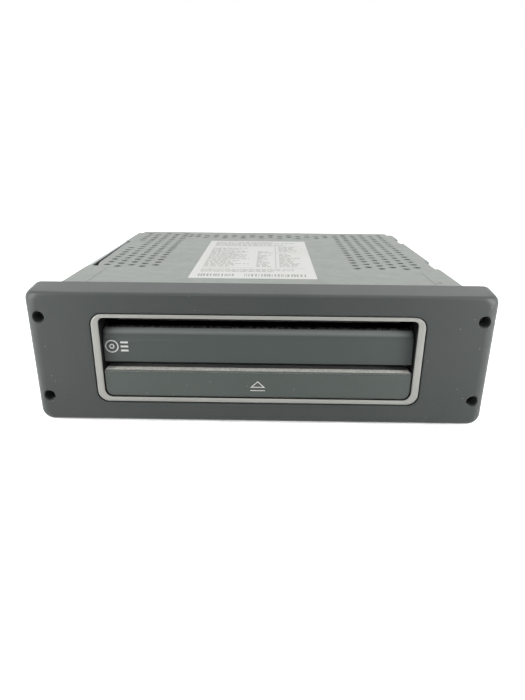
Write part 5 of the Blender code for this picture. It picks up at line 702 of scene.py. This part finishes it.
zinc_cover = zinc_steel_finish("galvanised_steel_cover", "#949B99", "#8B8E87")
ear, inner_edge = EAR - BEND, 86.9 * MM
ear_front, ear_back = CASE_FRONT + 0.3 * MM, CASE_FRONT + 39.0 * MM
left_slit, right_rear = CASE_FRONT + 115.0 * MM, CASE_FRONT + 135.0 * MM
right_tab, right_end = CASE_FRONT + 59.0 * MM, CASE_FRONT + 117.0 * MM
shoulder, rear_left, rear_right = CASE_BACK - 6.0 * MM, -86.8 * MM, 85.6 * MM
cover_back = CASE_BACK + 0.3 * MM + SHEET - BEND
plan = np.array([(-ear, ear_front), (ear, ear_front), (ear, ear_back), (inner_edge, ear_back),
                 (inner_edge, right_tab), (ear, right_tab), (ear, right_end), (inner_edge, right_end),
                 (inner_edge, right_rear), (ear, right_rear), (ear, shoulder), (rear_right, shoulder),
                 (rear_right, cover_back), (rear_left + 1.2 * MM, cover_back), (rear_left, shoulder),
                 (-ear, shoulder), (-ear, left_slit), (-86.0 * MM, left_slit), (-86.0 * MM, left_slit - 4.0 * MM),
                 (-87.1 * MM, left_slit - 8.0 * MM), (-85.4 * MM, ear_back + 8.0 * MM), (-83.8 * MM, ear_back),
                 (-ear, ear_back)])
cuts = [circle(x, y, 1.9 * MM, 20) for x, y in vent_holes()]
key_y = CASE_FRONT + 9.0 * MM
cuts.append(box_outline(78.8 * MM, 81.8 * MM, key_y - 0.55 * MM, key_y + 0.55 * MM))
top_sheet = slab([plan, *cuts], seen_from_top, COVER_TOP - SHEET, COVER_TOP)
beads = []
for side, end in ((-1, 38.0 * MM), (1, 34.0 * MM)):
    y = CASE_FRONT + np.linspace(4.0 * MM, end, 24)
    curl = np.clip((y - (CASE_FRONT + end - 6.0 * MM)) / (6.0 * MM), 0.0, 1.0) ** 2 * 3.0 * MM
    beads.append(bead(side * (78.6 * MM + curl), y))
notch = CASE_FRONT + 20.7 * MM
folds = [fold(EAR, -1, COVER_TOP, EAR_DROP, (ear_front, notch)),
         fold(EAR, -1, COVER_TOP, EAR_DROP, (notch + 1.6 * MM, ear_back)),
         slab([box_outline(-EAR, -EAR + SHEET, 40.1 * MM, 57.1 * MM)], seen_from_front, notch, notch + 1.6 * MM),
         fold(EAR, 1, COVER_TOP, EAR_DROP, (ear_front, ear_back)),
         fold(EAR, -1, COVER_TOP, TAB_DROP, (left_slit, shoulder)),
         fold(EAR, 1, COVER_TOP, TAB_DROP, (right_tab, right_end)),
         fold(EAR, 1, COVER_TOP, TAB_DROP, (right_rear, shoulder))]
turn = np.linspace(math.pi / 2, 0.0, 9)
rear_outer = np.stack([cover_back + BEND * np.cos(turn), COVER_TOP - BEND + BEND * np.sin(turn)], axis=1)
bend_in = BEND - SHEET
rear_inner = np.stack([cover_back + bend_in * np.cos(turn[::-1]), COVER_TOP - BEND + bend_in * np.sin(turn[::-1])],
                      axis=1)
rear_lip = np.array([(cover_back + BEND, COVER_TOP - TAB_DROP), (cover_back + bend_in, COVER_TOP - TAB_DROP)])
rear_fold = slab([np.concatenate([rear_outer, rear_lip, rear_inner])], seen_from_side, rear_left + 1.2 * MM,
                 rear_right)
make_piece("punched_steel_cover", [top_sheet, *beads, *folds, rear_fold], "chassis", zinc_cover,
           ["top_cover"])

# RATING LABEL
# A white polyester label stuck on the cover, kept generic: thin ruled lines, rows of short
# grey strokes and two groups of plain bars, with no lettering at all.
LABEL_X = (-34.3 * MM, 25.8 * MM)
LABEL_Y = (FRONT + 27.0 * MM, FRONT + 132.6 * MM)
LABEL_TOP = COVER_TOP + 0.08 * MM


def flat_strokes(boxes, level):
    """Thin closed boxes for printed strokes: rows of (x0, x1, y0, y1), each with its eight
    corners and six faces worked out as whole arrays."""
    boxes = np.asarray(boxes)
    x0, x1, y0, y1 = boxes.T
    low, high = np.full_like(x0, level - 0.02 * MM), np.full_like(x0, level + 0.03 * MM)
    corners = [(x0, y0, low), (x1, y0, low), (x1, y1, low), (x0, y1, low),
               (x0, y0, high), (x1, y0, high), (x1, y1, high), (x0, y1, high)]
    points = np.stack([np.stack(corner, axis=-1) for corner in corners], axis=1).reshape(-1, 3)
    sides = np.array([(3, 2, 1, 0), (4, 5, 6, 7), (0, 1, 5, 4), (1, 2, 6, 5), (2, 3, 7, 6), (3, 0, 4, 7)])
    loops = (np.arange(len(boxes))[:, None, None] * 8 + sides).ravel()
    return points, loops, np.full(len(boxes) * 6, 4)


def stroke_rows(chance, x0, x1, y0, y1, spacing, height):
    """Rows of short strokes between two X and two Y values, each of a random length with a
    gap after it, so that a row reads as print but spells nothing."""
    rows = []
    for y in np.arange(y0, y1, spacing):
        lengths = chance.uniform(0.8, 3.6, 60) * MM
        gaps = chance.uniform(0.5, 1.0, 60) * MM
        starts = x0 + np.cumsum(lengths + gaps) - lengths - gaps
        ends = starts + lengths
        limit = x0 + (x1 - x0) * chance.uniform(0.55, 1.0)
        kept = ends < limit
        low = np.full(kept.sum(), y)
        rows.append(np.stack([starts[kept], ends[kept], low, low + height], axis=1))
    return np.concatenate(rows)


# Satin polyester film: near white, faintly yellowed in patches, and slightly uneven.
label_film = mottled_finish("white_polyester_label", 0.38, ("#D6D7D5", "#CBCBC5"), 22, 4.0, (0.1, 0.1))
label_plan = rounded_contour((LABEL_X[1] - LABEL_X[0]) / 2, LABEL_Y[0], LABEL_Y[1], 0.8 * MM, None,
                             (LABEL_X[0] + LABEL_X[1]) / 2, 6, 4)
make_piece("white_label", [slab([label_plan], seen_from_top, COVER_TOP, LABEL_TOP)], "chassis", label_film)
# Thermal print: matt mid grey that fades a little from stroke to stroke.
grey_print = mottled_finish("thermal_print_grey", 0.7, ("#7E807C", "#B4B5B0"), 3)
chance = np.random.default_rng(7)
left, right, low, high = LABEL_X[0] + 4 * MM, LABEL_X[1] - 4 * MM, LABEL_Y[0] + 4 * MM, LABEL_Y[1] - 5 * MM
strokes = [stroke_rows(chance, left, left + 24 * MM, low + 22 * MM, low + 76 * MM, 2.2 * MM, 0.9 * MM),
           stroke_rows(chance, left + 27 * MM, left + 36 * MM, low + 22 * MM, low + 64 * MM, 2.2 * MM, 0.9 * MM),
           stroke_rows(chance, left + 39 * MM, right, low + 22 * MM, low + 58 * MM, 2.6 * MM, 1.0 * MM),
           stroke_rows(chance, left + 39 * MM, right, low + 64 * MM, low + 80 * MM, 2.6 * MM, 1.0 * MM),
           stroke_rows(chance, left, right, low + 84 * MM, high, 3.0 * MM, 1.2 * MM),
           stroke_rows(chance, left, right, low + 10 * MM, low + 17 * MM, 2.4 * MM, 1.0 * MM)]
bars = []
for first, last in ((left, left + 18 * MM), (left + 22 * MM, right)):
    widths = chance.uniform(0.25, 1.0, 80) * MM
    starts = first + np.cumsum(widths) - widths
    kept = (np.arange(80) % 2 == 0) & (starts + widths < last)
    count = kept.sum()
    bars.append(np.stack([starts[kept], (starts + widths)[kept], np.full(count, low), np.full(count, low + 5.0 * MM)],
                         axis=1))
rules = np.array([(left, right, low + 19.0 * MM, low + 19.25 * MM), (left, right, low + 81.5 * MM, low + 81.75 * MM),
                  (left + 37.0 * MM, left + 37.25 * MM, low + 19.0 * MM, low + 81.5 * MM),
                  (left + 37.0 * MM, right, low + 61.0 * MM, low + 61.25 * MM)])
print_boxes = np.concatenate([*strokes, *bars, rules])
make_piece("label_strokes", [flat_strokes(print_boxes, LABEL_TOP)], "chassis", grey_print)

# CHASSIS TRAY
# The lower half of the case: one blank of the same steel, its four walls folded up from
# the floor, with a front window for the disc, vent slots, side screw holes and the rear
# openings. Its left wall turns in at the top between the cover's ear and tab, and four
# half-pierced standoffs carry the main board.
FLOOR = 10.1 * MM
WALL_TOP = 59.0 * MM
DISC_Y = -4.4 * MM
LIP_RUN = (-38.1 * MM, 37.3 * MM)
AERIAL = (76.0 * MM, 29.1 * MM)
STUD = (-1.0 * MM, 40.1 * MM)


def floor_bend(place, edge, side, run):
    """The quarter bend between floor and wall, seen along the edge: outer radius 1.1 mm."""
    turn = np.linspace(-math.pi / 2, 0.0, 9)
    centre = np.array([edge - BEND, FLOOR + BEND])
    outer = centre + BEND * np.stack([np.cos(turn), np.sin(turn)], axis=1)
    inner = centre + (BEND - SHEET) * np.stack([np.cos(turn[::-1]), np.sin(turn[::-1])], axis=1)
    return slab([np.concatenate([outer, inner]) * (side, 1.0)], place, *run)


zinc_tray = zinc_steel_finish("galvanised_steel_tray", "#BEC5C5", "#A9AFAE", "Y")
floor_plan = box_outline(BEND - CASE_HALF, CASE_HALF - BEND, CASE_FRONT + BEND, CASE_BACK - BEND)
vents = [box_outline(x - 1.2 * MM, x + 1.2 * MM, y - 6.0 * MM, y + 6.0 * MM)
         for y in (DISC_Y - 18.0 * MM, DISC_Y + 18.0 * MM) for x in (np.arange(7) - 3) * 8.0 * MM]
sheets = [slab([floor_plan, *vents], seen_from_top, FLOOR, FLOOR + SHEET)]
wall_outline = box_outline(CASE_FRONT, CASE_BACK, FLOOR + BEND, WALL_TOP)
tongue = np.array([(CASE_FRONT, FLOOR + BEND), (CASE_BACK, FLOOR + BEND), (CASE_BACK, WALL_TOP),
                   (LIP_RUN[1], WALL_TOP), (LIP_RUN[1], COVER_TOP - SHEET / 2), (LIP_RUN[0], COVER_TOP - SHEET / 2),
                   (LIP_RUN[0], WALL_TOP), (CASE_FRONT, WALL_TOP)])
clip_room = (CLIP_LOW - 0.3 * MM, CLIP_HIGH + 0.3 * MM)
catch = box_outline(CLIP_TIP - 3.1 * MM, CLIP_TIP + 0.3 * MM, *clip_room)
screw_holes = [circle(CASE_FRONT + station, FLOOR + height, 2.4 * MM)
               for station in (56.0 * MM, 129.0 * MM) for height in (14.0 * MM, 26.5 * MM)]
for side in (-1, 1):
    run = sorted((side * CASE_HALF, side * (CASE_HALF - SHEET)))
    sheets.append(slab([wall_outline if side > 0 else tongue, catch, *screw_holes], seen_from_side, *run))
    sheets.append(floor_bend(seen_from_front, CASE_HALF, side, (CASE_FRONT + BEND, CASE_BACK - BEND)))
end_outline = box_outline(SHEET - CASE_HALF, CASE_HALF - SHEET, FLOOR + BEND, WALL_TOP)
window = box_outline(-70.5 * MM, 70.5 * MM, 11.9 * MM, 53.5 * MM)
clip_slots = [box_outline(*sorted((side * 85.7 * MM, side * 88.1 * MM)), *clip_room) for side in (-1, 1)]
sheets.append(slab([end_outline, window, *clip_slots], seen_from_front, CASE_FRONT, CASE_FRONT + SHEET))
rear_cuts = [box_outline(-62.3 * MM, -11.7 * MM, 17.6 * MM, 36.2 * MM), circle(*AERIAL, 6.8 * MM, 40),
             circle(*STUD, 2.8 * MM)]
sheets.append(slab([end_outline, *rear_cuts], seen_from_front, CASE_BACK - SHEET, CASE_BACK))
lip = np.array([(-CASE_HALF, LIP_RUN[0]), (-87.2 * MM, LIP_RUN[0]), (-87.9 * MM, LIP_RUN[1]), (-CASE_HALF, LIP_RUN[1])])
sheets.append(slab([lip], seen_from_top, COVER_TOP - SHEET, COVER_TOP))
for edge, side in ((CASE_BACK, 1), (-CASE_FRONT, -1)):
    sheets.append(floor_bend(seen_from_side, edge, side, (BEND - CASE_HALF, CASE_HALF - BEND)))
for x in (-62.0 * MM, 62.0 * MM):
    for y in (-51.0 * MM, 69.0 * MM):
        sheets.append(turned([(3.0 * MM, FLOOR + 0.5 * MM), (2.0 * MM, 15.7 * MM)], (x, y), seen_from_top, 32))
make_piece("folded_steel_tray", sheets, "chassis", zinc_tray, ["chassis_tray"])

# REAR FITTINGS
# The heat sink is an aluminium extrusion cut to length, with its fins upright. The socket
# for the loom is black PBT with tinned pins, the aerial socket is nickel-plated brass, and
# the support stud is zinc-plated steel.


def extruded_finish():
    """Extruded aluminium: bright, with die lines along Z about 0.6 mm apart."""
    skin, tree, shader = start_finish("extruded_aluminium", 1.0, 0.38)
    place = add_node(tree, "TexCoord", {}).outputs["Object"]
    lay = add_node(tree, "Mapping", {"Vector": place, "Scale": (1.0, 1.0, 0.02)}).outputs[0]
    lines = add_node(tree, "TexNoise", {"Vector": lay, "Scale": per_mm(0.6), "Detail": 4.0}).outputs["Fac"]
    tone = add_node(tree, "Mix", {0: lines, 6: linear("#B4B5B7"), 7: linear("#CDCED0")}, data_type="RGBA")
    tree.links.new(tone.outputs[2], shader.inputs["Base Color"])
    relief = add_node(tree, "Bump", {"Height": lines, "Strength": 0.3, "Distance": 0.03 * MM})
    tree.links.new(relief.outputs[0], shader.inputs["Normal"])
    return skin


def plated_finish(name, colour, patch_colour, roughness, speck=0.6):
    """Plated or ground metal: even and bright, with a faint haze and fine specks."""
    skin, tree, shader = start_finish(name, 1.0, roughness)
    place = add_node(tree, "TexCoord", {}).outputs["Object"]
    haze = add_node(tree, "TexNoise", {"Vector": place, "Scale": per_mm(6), "Detail": 4.0}).outputs["Fac"]
    tone = add_node(tree, "Mix", {0: haze, 6: linear(colour), 7: linear(patch_colour)}, data_type="RGBA")
    tree.links.new(tone.outputs[2], shader.inputs["Base Color"])
    fine = add_node(tree, "TexNoise", {"Vector": place, "Scale": per_mm(speck), "Detail": 3.0}).outputs["Fac"]
    relief = add_node(tree, "Bump", {"Height": fine, "Strength": 0.1, "Distance": 0.02 * MM})
    tree.links.new(relief.outputs[0], shader.inputs["Normal"])
    dull = add_node(tree, "MapRange", {"Value": haze, "To Min": roughness - 0.07, "To Max": roughness + 0.07})
    tree.links.new(dull.outputs[0], shader.inputs["Roughness"])
    return skin


def smoothed(outline, radius, steps=4):
    """Rounds every corner of an outline with a quadratic curve whose ends lie one radius
    from the corner, worked out for all corners at once."""
    before = np.roll(outline, 1, axis=0) - outline
    after = np.roll(outline, -1, axis=0) - outline
    before /= np.linalg.norm(before, axis=1, keepdims=True)
    after /= np.linalg.norm(after, axis=1, keepdims=True)
    t = np.linspace(0.0, 1.0, steps + 1)[None, :, None]
    start, end = (outline + before * radius)[:, None], (outline + after * radius)[:, None]
    return ((1 - t) ** 2 * start + 2 * t * (1 - t) * outline[:, None] + t ** 2 * end).reshape(-1, 2)


bare_aluminium = extruded_finish()
sink_left, sink_width, sink_foot = 12.0 * MM, 48.0 * MM, CASE_BACK + 0.3 * MM
sink_root, sink_tip = sink_foot + 3.0 * MM, sink_foot + 11.0 * MM
fin_gaps, fin = 8, 1.4 * MM
fin_pitch = (sink_width - fin) / fin_gaps
profile = [(sink_left, sink_foot), (sink_left + sink_width, sink_foot)]
for number in range(fin_gaps, -1, -1):
    start = sink_left + number * fin_pitch
    profile += [(start + fin, sink_tip), (start, sink_tip)]
    if number:
        profile += [(start, sink_root), (start - fin_pitch + fin, sink_root)]
sink = slab([smoothed(np.array(profile), 0.35 * MM)], seen_from_top, 15.1 * MM, 45.1 * MM)
make_piece("finned_heat_sink", [sink], "chassis", bare_aluminium, ["heat_sink"])

black_pbt = moulded_plastic("moulded_black_pbt", "#2E2F31", "#27282A", 0.42, grain=0.8, dust=0.15)
plug_x, plug_low, plug_high = -37.0 * MM, 17.9 * MM, 35.9 * MM
plug_front, plug_back = CASE_BACK - 12.0 * MM, CASE_BACK + 5.0 * MM
rim = rounded_contour(25.0 * MM, plug_low, plug_high, 0.6 * MM, None, plug_x, 4, 2)
bays = [smoothed(box_outline(plug_x + low, plug_x + high, plug_low + 1.6 * MM, plug_high - 1.6 * MM), 0.4 * MM)
        for low, high in ((-23.4 * MM, -0.8 * MM), (0.8 * MM, 23.4 * MM))]
housing = [slab([rim, *bays], seen_from_front, plug_front + 3.0 * MM, plug_back),
           slab([rim], seen_from_front, plug_front, plug_front + 3.0 * MM)]
for middle in (-12.1 * MM, 12.1 * MM):
    housing.append(block((plug_x + middle - 1.0 * MM, plug_x + middle + 1.0 * MM),
                         (plug_front + 2.9 * MM, plug_back - 0.5 * MM), (plug_high - 2.6 * MM, plug_high - 1.5 * MM)))
make_piece("loom_socket_housing", housing, "chassis", black_pbt, ["main_connector"])
tinned_brass = plated_finish("tinned_brass", "#CFC39B", "#D9D2B8", 0.28)
pin_pitch = (50.0 - 6.4) / 8 * MM
pins = []
for number in range(8):
    x = plug_x + (number - 3.5) * pin_pitch
    for z in (plug_low + 3.2 * MM, plug_high - 4.2 * MM):
        pins.append(block((x - 0.5 * MM, x + 0.5 * MM), (plug_front + 2.7 * MM, plug_front + 11.0 * MM),
                          (z, z + 1.0 * MM), 0.2 * MM))
make_piece("loom_socket_pins", pins, "chassis", tinned_brass)

nickel = plated_finish("nickel_plated_brass", "#C9C4B8", "#D8D4CA", 0.24)
aerial_back = CASE_BACK + 8.0 * MM
aerial_front = aerial_back - 16.0 * MM
profile = [(4.0 * MM, aerial_back - 14.0 * MM), (4.0 * MM, aerial_back - 0.4 * MM), (4.3 * MM, aerial_back),
           (6.1 * MM, aerial_back), (6.5 * MM, aerial_back - 0.4 * MM), (6.5 * MM, CASE_BACK - 1.1 * MM),
           (7.5 * MM, CASE_BACK - 1.1 * MM), (7.5 * MM, aerial_front), (2.0 * MM, aerial_front),
           (2.0 * MM, aerial_back - 14.0 * MM)]
contact = [(1.1 * MM, aerial_front), (1.1 * MM, aerial_back - 8.5 * MM), (0.7 * MM, aerial_back - 8.0 * MM)]
insulator = [(2.0 * MM, aerial_front), (2.0 * MM, aerial_back - 13.9 * MM)]
make_piece("aerial_socket_shell", [turned(profile, AERIAL, seen_from_front, 64, closed=True),
                                   turned(contact, AERIAL, seen_from_front, 32),
                                   turned(insulator, AERIAL, seen_from_front, 32)],
           "chassis", nickel, ["antenna_socket"])

zinc_plate = plated_finish("zinc_plated_steel", "#B9BCBE", "#CBCDCC", 0.3)
inner, outer = CASE_BACK - 1.1 * MM, CASE_BACK + 0.3 * MM
profile = [(4.5 * MM, inner - 2.0 * MM), (4.5 * MM, inner), (2.5 * MM, inner), (2.5 * MM, outer), (4.5 * MM, outer),
           (4.5 * MM, outer + 1.7 * MM), (4.2 * MM, outer + 2.0 * MM), (2.3 * MM, outer + 2.0 * MM)]
ridge = np.arange(14)
crest = np.stack([np.where(ridge % 2 == 0, 2.5 * MM, 2.2 * MM), outer + (2.3 + 0.55 * ridge) * MM], axis=1)
profile += [tuple(point) for point in crest] + [(1.7 * MM, outer + 10.8 * MM)]
make_piece("support_stud", [turned(profile, STUD, seen_from_front, 48)], "chassis", zinc_plate,
           ["rear_stud"])

# INSIDE OF THE UNIT
# What the slot, the vents and the openings let the eye see: circuit boards in green solder
# mask, the steel deck on rubber mounts, the loading roller and its gears, the turntable
# and clamp, and the laser pickup on its rods. Their CAD solids stay, in their real finishes.


def solder_mask_finish():
    """Green solder mask over copper: glossy, with tracks about 2.4 mm apart as a faint
    relief and a lighter green where copper lies below."""
    skin, tree, shader = start_finish("green_solder_mask", 0.0, 0.3, IOR=1.5)
    place = add_node(tree, "TexCoord", {}).outputs["Object"]
    tracks = add_node(tree, "TexVoronoi", {"Vector": place, "Scale": per_mm(2.4)}, distance="MANHATTAN")
    copper = add_node(tree, "MapRange", {"Value": tracks.outputs["Distance"], "From Min": 0.42,
                                         "From Max": 0.5}).outputs[0]
    tone = add_node(tree, "Mix", {0: copper, 6: linear("#1E5A38"), 7: linear("#2F7A4A")}, data_type="RGBA")
    tree.links.new(tone.outputs[2], shader.inputs["Base Color"])
    relief = add_node(tree, "Bump", {"Height": copper, "Strength": 0.4, "Distance": 0.05 * MM})
    tree.links.new(relief.outputs[0], shader.inputs["Normal"])
    return skin


def rubber_finish():
    """Moulded neoprene: matt black, slightly bloomed, with a fine even tooth."""
    skin, tree, shader = start_finish("moulded_neoprene", 0.0, 0.8, IOR=1.52)
    place = add_node(tree, "TexCoord", {}).outputs["Object"]
    bloom = add_node(tree, "TexNoise", {"Vector": place, "Scale": per_mm(3), "Detail": 3.0}).outputs["Fac"]
    tone = add_node(tree, "Mix", {0: bloom, 6: linear("#1F1F20"), 7: linear("#2E2E2F")}, data_type="RGBA")
    tree.links.new(tone.outputs[2], shader.inputs["Base Color"])
    tooth = add_node(tree, "TexNoise", {"Vector": place, "Scale": per_mm(0.3), "Detail": 2.0}).outputs["Fac"]
    relief = add_node(tree, "Bump", {"Height": tooth, "Strength": 0.5, "Distance": 0.03 * MM})
    tree.links.new(relief.outputs[0], shader.inputs["Normal"])
    return skin


def dress(skin, slot, *names):
    """Gives CAD nodes a finish; their shapes and places stay as they are."""
    for name in names:
        nodes[name].data.materials.clear()
        nodes[name].data.materials.append(skin)


dress(solder_mask_finish(), "circuit_board", "main_board", "switch_board")
dress(zinc_steel_finish("galvanised_steel_deck", "#B6BCBC", "#A2A7A6", "Y"), "zinc_steel", "mech_deck",
      "deck_bracket_left", "deck_bracket_right", "clamp_bracket", "clamp_arm")
dress(rubber_finish(), "rubber", "damper_1", "damper_2", "damper_3", "damper_4", "loading_roller_left",
      "loading_roller_right")
# Natural acetal: milky white, smooth and waxy, with a little light passing through.
dress(mottled_finish("moulded_natural_acetal", 0.38, ("#DDD9CC", "#E6E3D9"), 2.5, 3.0, (0.1, 0.03), IOR=1.48,
                     Subsurface_Weight=0.1),
      "acetal", "roller_bearing_left", "roller_bearing_right", "roller_gear", "idler_gear", "motor_pinion",
      "switch_plunger_left", "switch_plunger_right")
dress(plated_finish("ground_bright_steel", "#BDBEC0", "#CDCDCE", 0.22), "bright_steel", "roller_shaft", "idler_pin",
      "clamp_pin", "clamp_spring", "guide_rod_left", "guide_rod_right", "lead_screw")
dress(plated_finish("drawn_motor_can_steel", "#AEB1B3", "#C2C4C5", 0.32), "bright_steel", "loading_motor",
      "spindle_motor", "sled_motor", "tuner_module")
dress(moulded_plastic("moulded_black_polycarbonate", "#2B2C2D", "#242526", 0.45, grain=0.7, dust=0.2), "black_plastic",
      "disc_guide", "clamp_puck", "turntable", "rod_holder_front", "rod_holder_rear", "pickup_sled", "tact_switch_left",
      "tact_switch_right")
dress(moulded_plastic("black_epoxy_package", "#262628", "#2E2E30", 0.55, grain=0.35, dust=0.1), "black_plastic",
      "power_amplifier", "control_chip")
dress(moulded_plastic("black_shrink_sleeve", "#1D1E24", "#262833", 0.3, grain=1.2, dust=0.0), "black_plastic",
      "filter_capacitor_1", "filter_capacitor_2", "filter_capacitor_3")

# LENS AND ITS HOLDER
# The objective is a clear moulded lens glued into the round collar of a black moulded
# holder, which floats on the sled. The holder's top edges are chamfered and its top lies a
# little low, so that it passes under the clamp's bracket with the sled right out.
holder_low, holder_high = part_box("lens_holder")
lens_place = ((holder_low[0] + holder_high[0]) / 2, (holder_low[1] + holder_high[1]) / 2)
lens_seat = holder_low[2] + 2.8 * MM
lens_radius = 2.5 * MM
holder = block(*zip(holder_low[:2], holder_high[:2]), (holder_low[2], lens_seat), 0.35 * MM)
bore, brim = lens_radius + 0.1 * MM, lens_seat + 0.3 * MM
collar = turned([(bore, lens_seat - 0.1 * MM), (bore + 0.7 * MM, lens_seat - 0.1 * MM),
                 (bore + 0.5 * MM, brim - 0.1 * MM), (bore + 0.3 * MM, brim), (bore, brim)],
                lens_place, seen_from_top, closed=True)
black_polymer = moulded_plastic("moulded_black_crystal_polymer", "#1F2022", "#27282A", 0.4, grain=0.4, dust=0.0)
make_piece("lens_holder_block", [holder, collar], "lens", black_polymer, ["lens_holder"])
# The lens stands straight for 0.2 mm, and above that its radius falls as cos t while its
# height rises as sin t. Its coating gives the clear plastic a faint violet and blue cast.
coated_acrylic = mottled_finish("coated_acrylic_lens", 0.06, ("#5A6E9A", "#7B6AA8"), 2, 1.0, IOR=1.49,
                                Transmission_Weight=0.4, Coat_Weight=0.5)
dome = [(lens_radius * math.cos(turn), lens_seat + 0.2 * MM + 0.9 * MM * math.sin(turn))
        for turn in np.linspace(0.0, 1.5, 12)]
make_piece("objective_lens", [turned([(lens_radius, lens_seat - 0.05 * MM), *dome], lens_place, seen_from_top)],
           "lens", coated_acrylic, angle=60.0)

# BENCH, LIGHT AND CAMERA
# The unit leans back on its case: the bench meets the fascia's lower edge and the case's
# rear lower edge. Bench and background show white with a soft shadow, a wide softbox hangs
# above, a weaker one lights the front, and a small panel stands close to each end.


def white_to_eye(tree, plain, white):
    """Shows one shader to the camera, mirrors and glass, and the other to all the rest."""
    path = add_node(tree, "LightPath", {})
    seen = add_node(tree, "Math", {0: path.outputs["Is Camera Ray"], 1: path.outputs["Is Glossy Ray"]},
                    operation="MAXIMUM")
    any_ray = add_node(tree, "Math", {0: seen.outputs[0], 1: path.outputs["Is Transmission Ray"]}, operation="MAXIMUM")
    return add_node(tree, "MixShader", {0: any_ray.outputs[0], 1: plain, 2: white}).outputs[0]


lean = math.atan2(10.1, 157.5)
floor_mesh = bpy.data.meshes.new("bench_top")
corner = np.array([(-3.0, -3.0), (3.0, -3.0), (3.0, 6.0), (-3.0, 6.0)])
level = -0.0002 + (corner[:, 1] + 77.7 * MM) * math.tan(lean)
floor_mesh.from_pydata(np.column_stack([corner, level]).tolist(), [], [(0, 1, 2, 3)])
bench = bpy.data.objects.new("bench_top", floor_mesh)
bpy.context.scene.collection.objects.link(bench)
bench_white = bpy.data.materials.new("matt_white_bench")
bench_white.use_nodes = True
tree = bench_white.node_tree
shader = tree.nodes["Principled BSDF"]
shader.inputs["Base Color"].default_value = linear("#F2F2F2")
shader.inputs["Roughness"].default_value = 0.9
place = add_node(tree, "TexCoord", {}).outputs["Object"]
reach = add_node(tree, "VectorMath", {0: place}, operation="LENGTH").outputs["Value"]
wash = add_node(tree, "MapRange", {"Value": reach, "From Min": 0.12, "From Max": 0.4, "To Min": 0.5, "To Max": 1.0})
glow = add_node(tree, "Emission", {"Color": (1.0, 1.0, 1.0, 1.0), "Strength": wash.outputs[0]})
lit = add_node(tree, "AddShader", {0: shader.outputs[0], 1: glow.outputs[0]})
bounce = add_node(tree, "BsdfDiffuse", {"Color": linear("#5E5E5E")})
tree.links.new(white_to_eye(tree, bounce.outputs[0], lit.outputs[0]), tree.nodes["Material Output"].inputs["Surface"])
floor_mesh.materials.append(bench_white)

world = bpy.data.worlds.new("studio_white")
bpy.context.scene.world = world
world.use_nodes = True
tree = world.node_tree
dim = add_node(tree, "Background", {"Color": (1.0, 1.0, 1.0, 1.0), "Strength": 0.24})
white = add_node(tree, "Background", {"Color": (1.0, 1.0, 1.0, 1.0), "Strength": 1.0})
tree.links.new(white_to_eye(tree, dim.outputs[0], white.outputs[0]), tree.nodes["World Output"].inputs["Surface"])


def softbox(name, place, aim, size, power):
    """A square area lamp at a place, turned to face its aim."""
    lamp = bpy.data.lights.new(name, "AREA")
    lamp.size = size
    lamp.energy = power
    holder = bpy.data.objects.new(name, lamp)
    bpy.context.scene.collection.objects.link(holder)
    holder.location = place
    holder.rotation_euler = (Vector(aim) - Vector(place)).to_track_quat("-Z", "Y").to_euler()


softbox("overhead_softbox", (0.0, -0.2, 1.3), (0.0, 0.0, 0.05), 1.4, 12.5)
softbox("front_softbox", (0.0, -0.75, 0.8), (0.0, -0.09, 0.03), 0.6, 0.95)
softbox("left_panel", (-0.25, -0.19, 0.1), (-0.09, -0.09, 0.03), 0.12, 0.6)
softbox("right_panel", (0.25, -0.19, 0.1), (0.09, -0.09, 0.03), 0.12, 0.66)

pitch, yaw, roll = 0.3645, 0.0130, 0.0083
forward = Vector((-math.sin(yaw) * math.cos(pitch), math.cos(yaw) * math.cos(pitch), -math.sin(pitch)))
level_right = Vector((math.cos(yaw), math.sin(yaw), 0.0))
level_up = level_right.cross(forward)
right = level_right * math.cos(roll) + level_up * math.sin(roll)
up = level_up * math.cos(roll) - level_right * math.sin(roll)
eye = bpy.data.cameras.new("photo_camera")
eye.sensor_width = 36.0
eye.lens = 27.02
camera = bpy.data.objects.new("photo_camera", eye)
bpy.context.scene.collection.objects.link(camera)
turn = Matrix((right, up, -forward)).transposed().to_4x4()
camera.matrix_world = Matrix.Translation((3.765 * MM, -302.44 * MM, 115.90 * MM)) @ turn
bpy.context.scene.camera = camera
bpy.context.scene.view_settings.view_transform = "Standard"

bpy.context.view_layer.update()
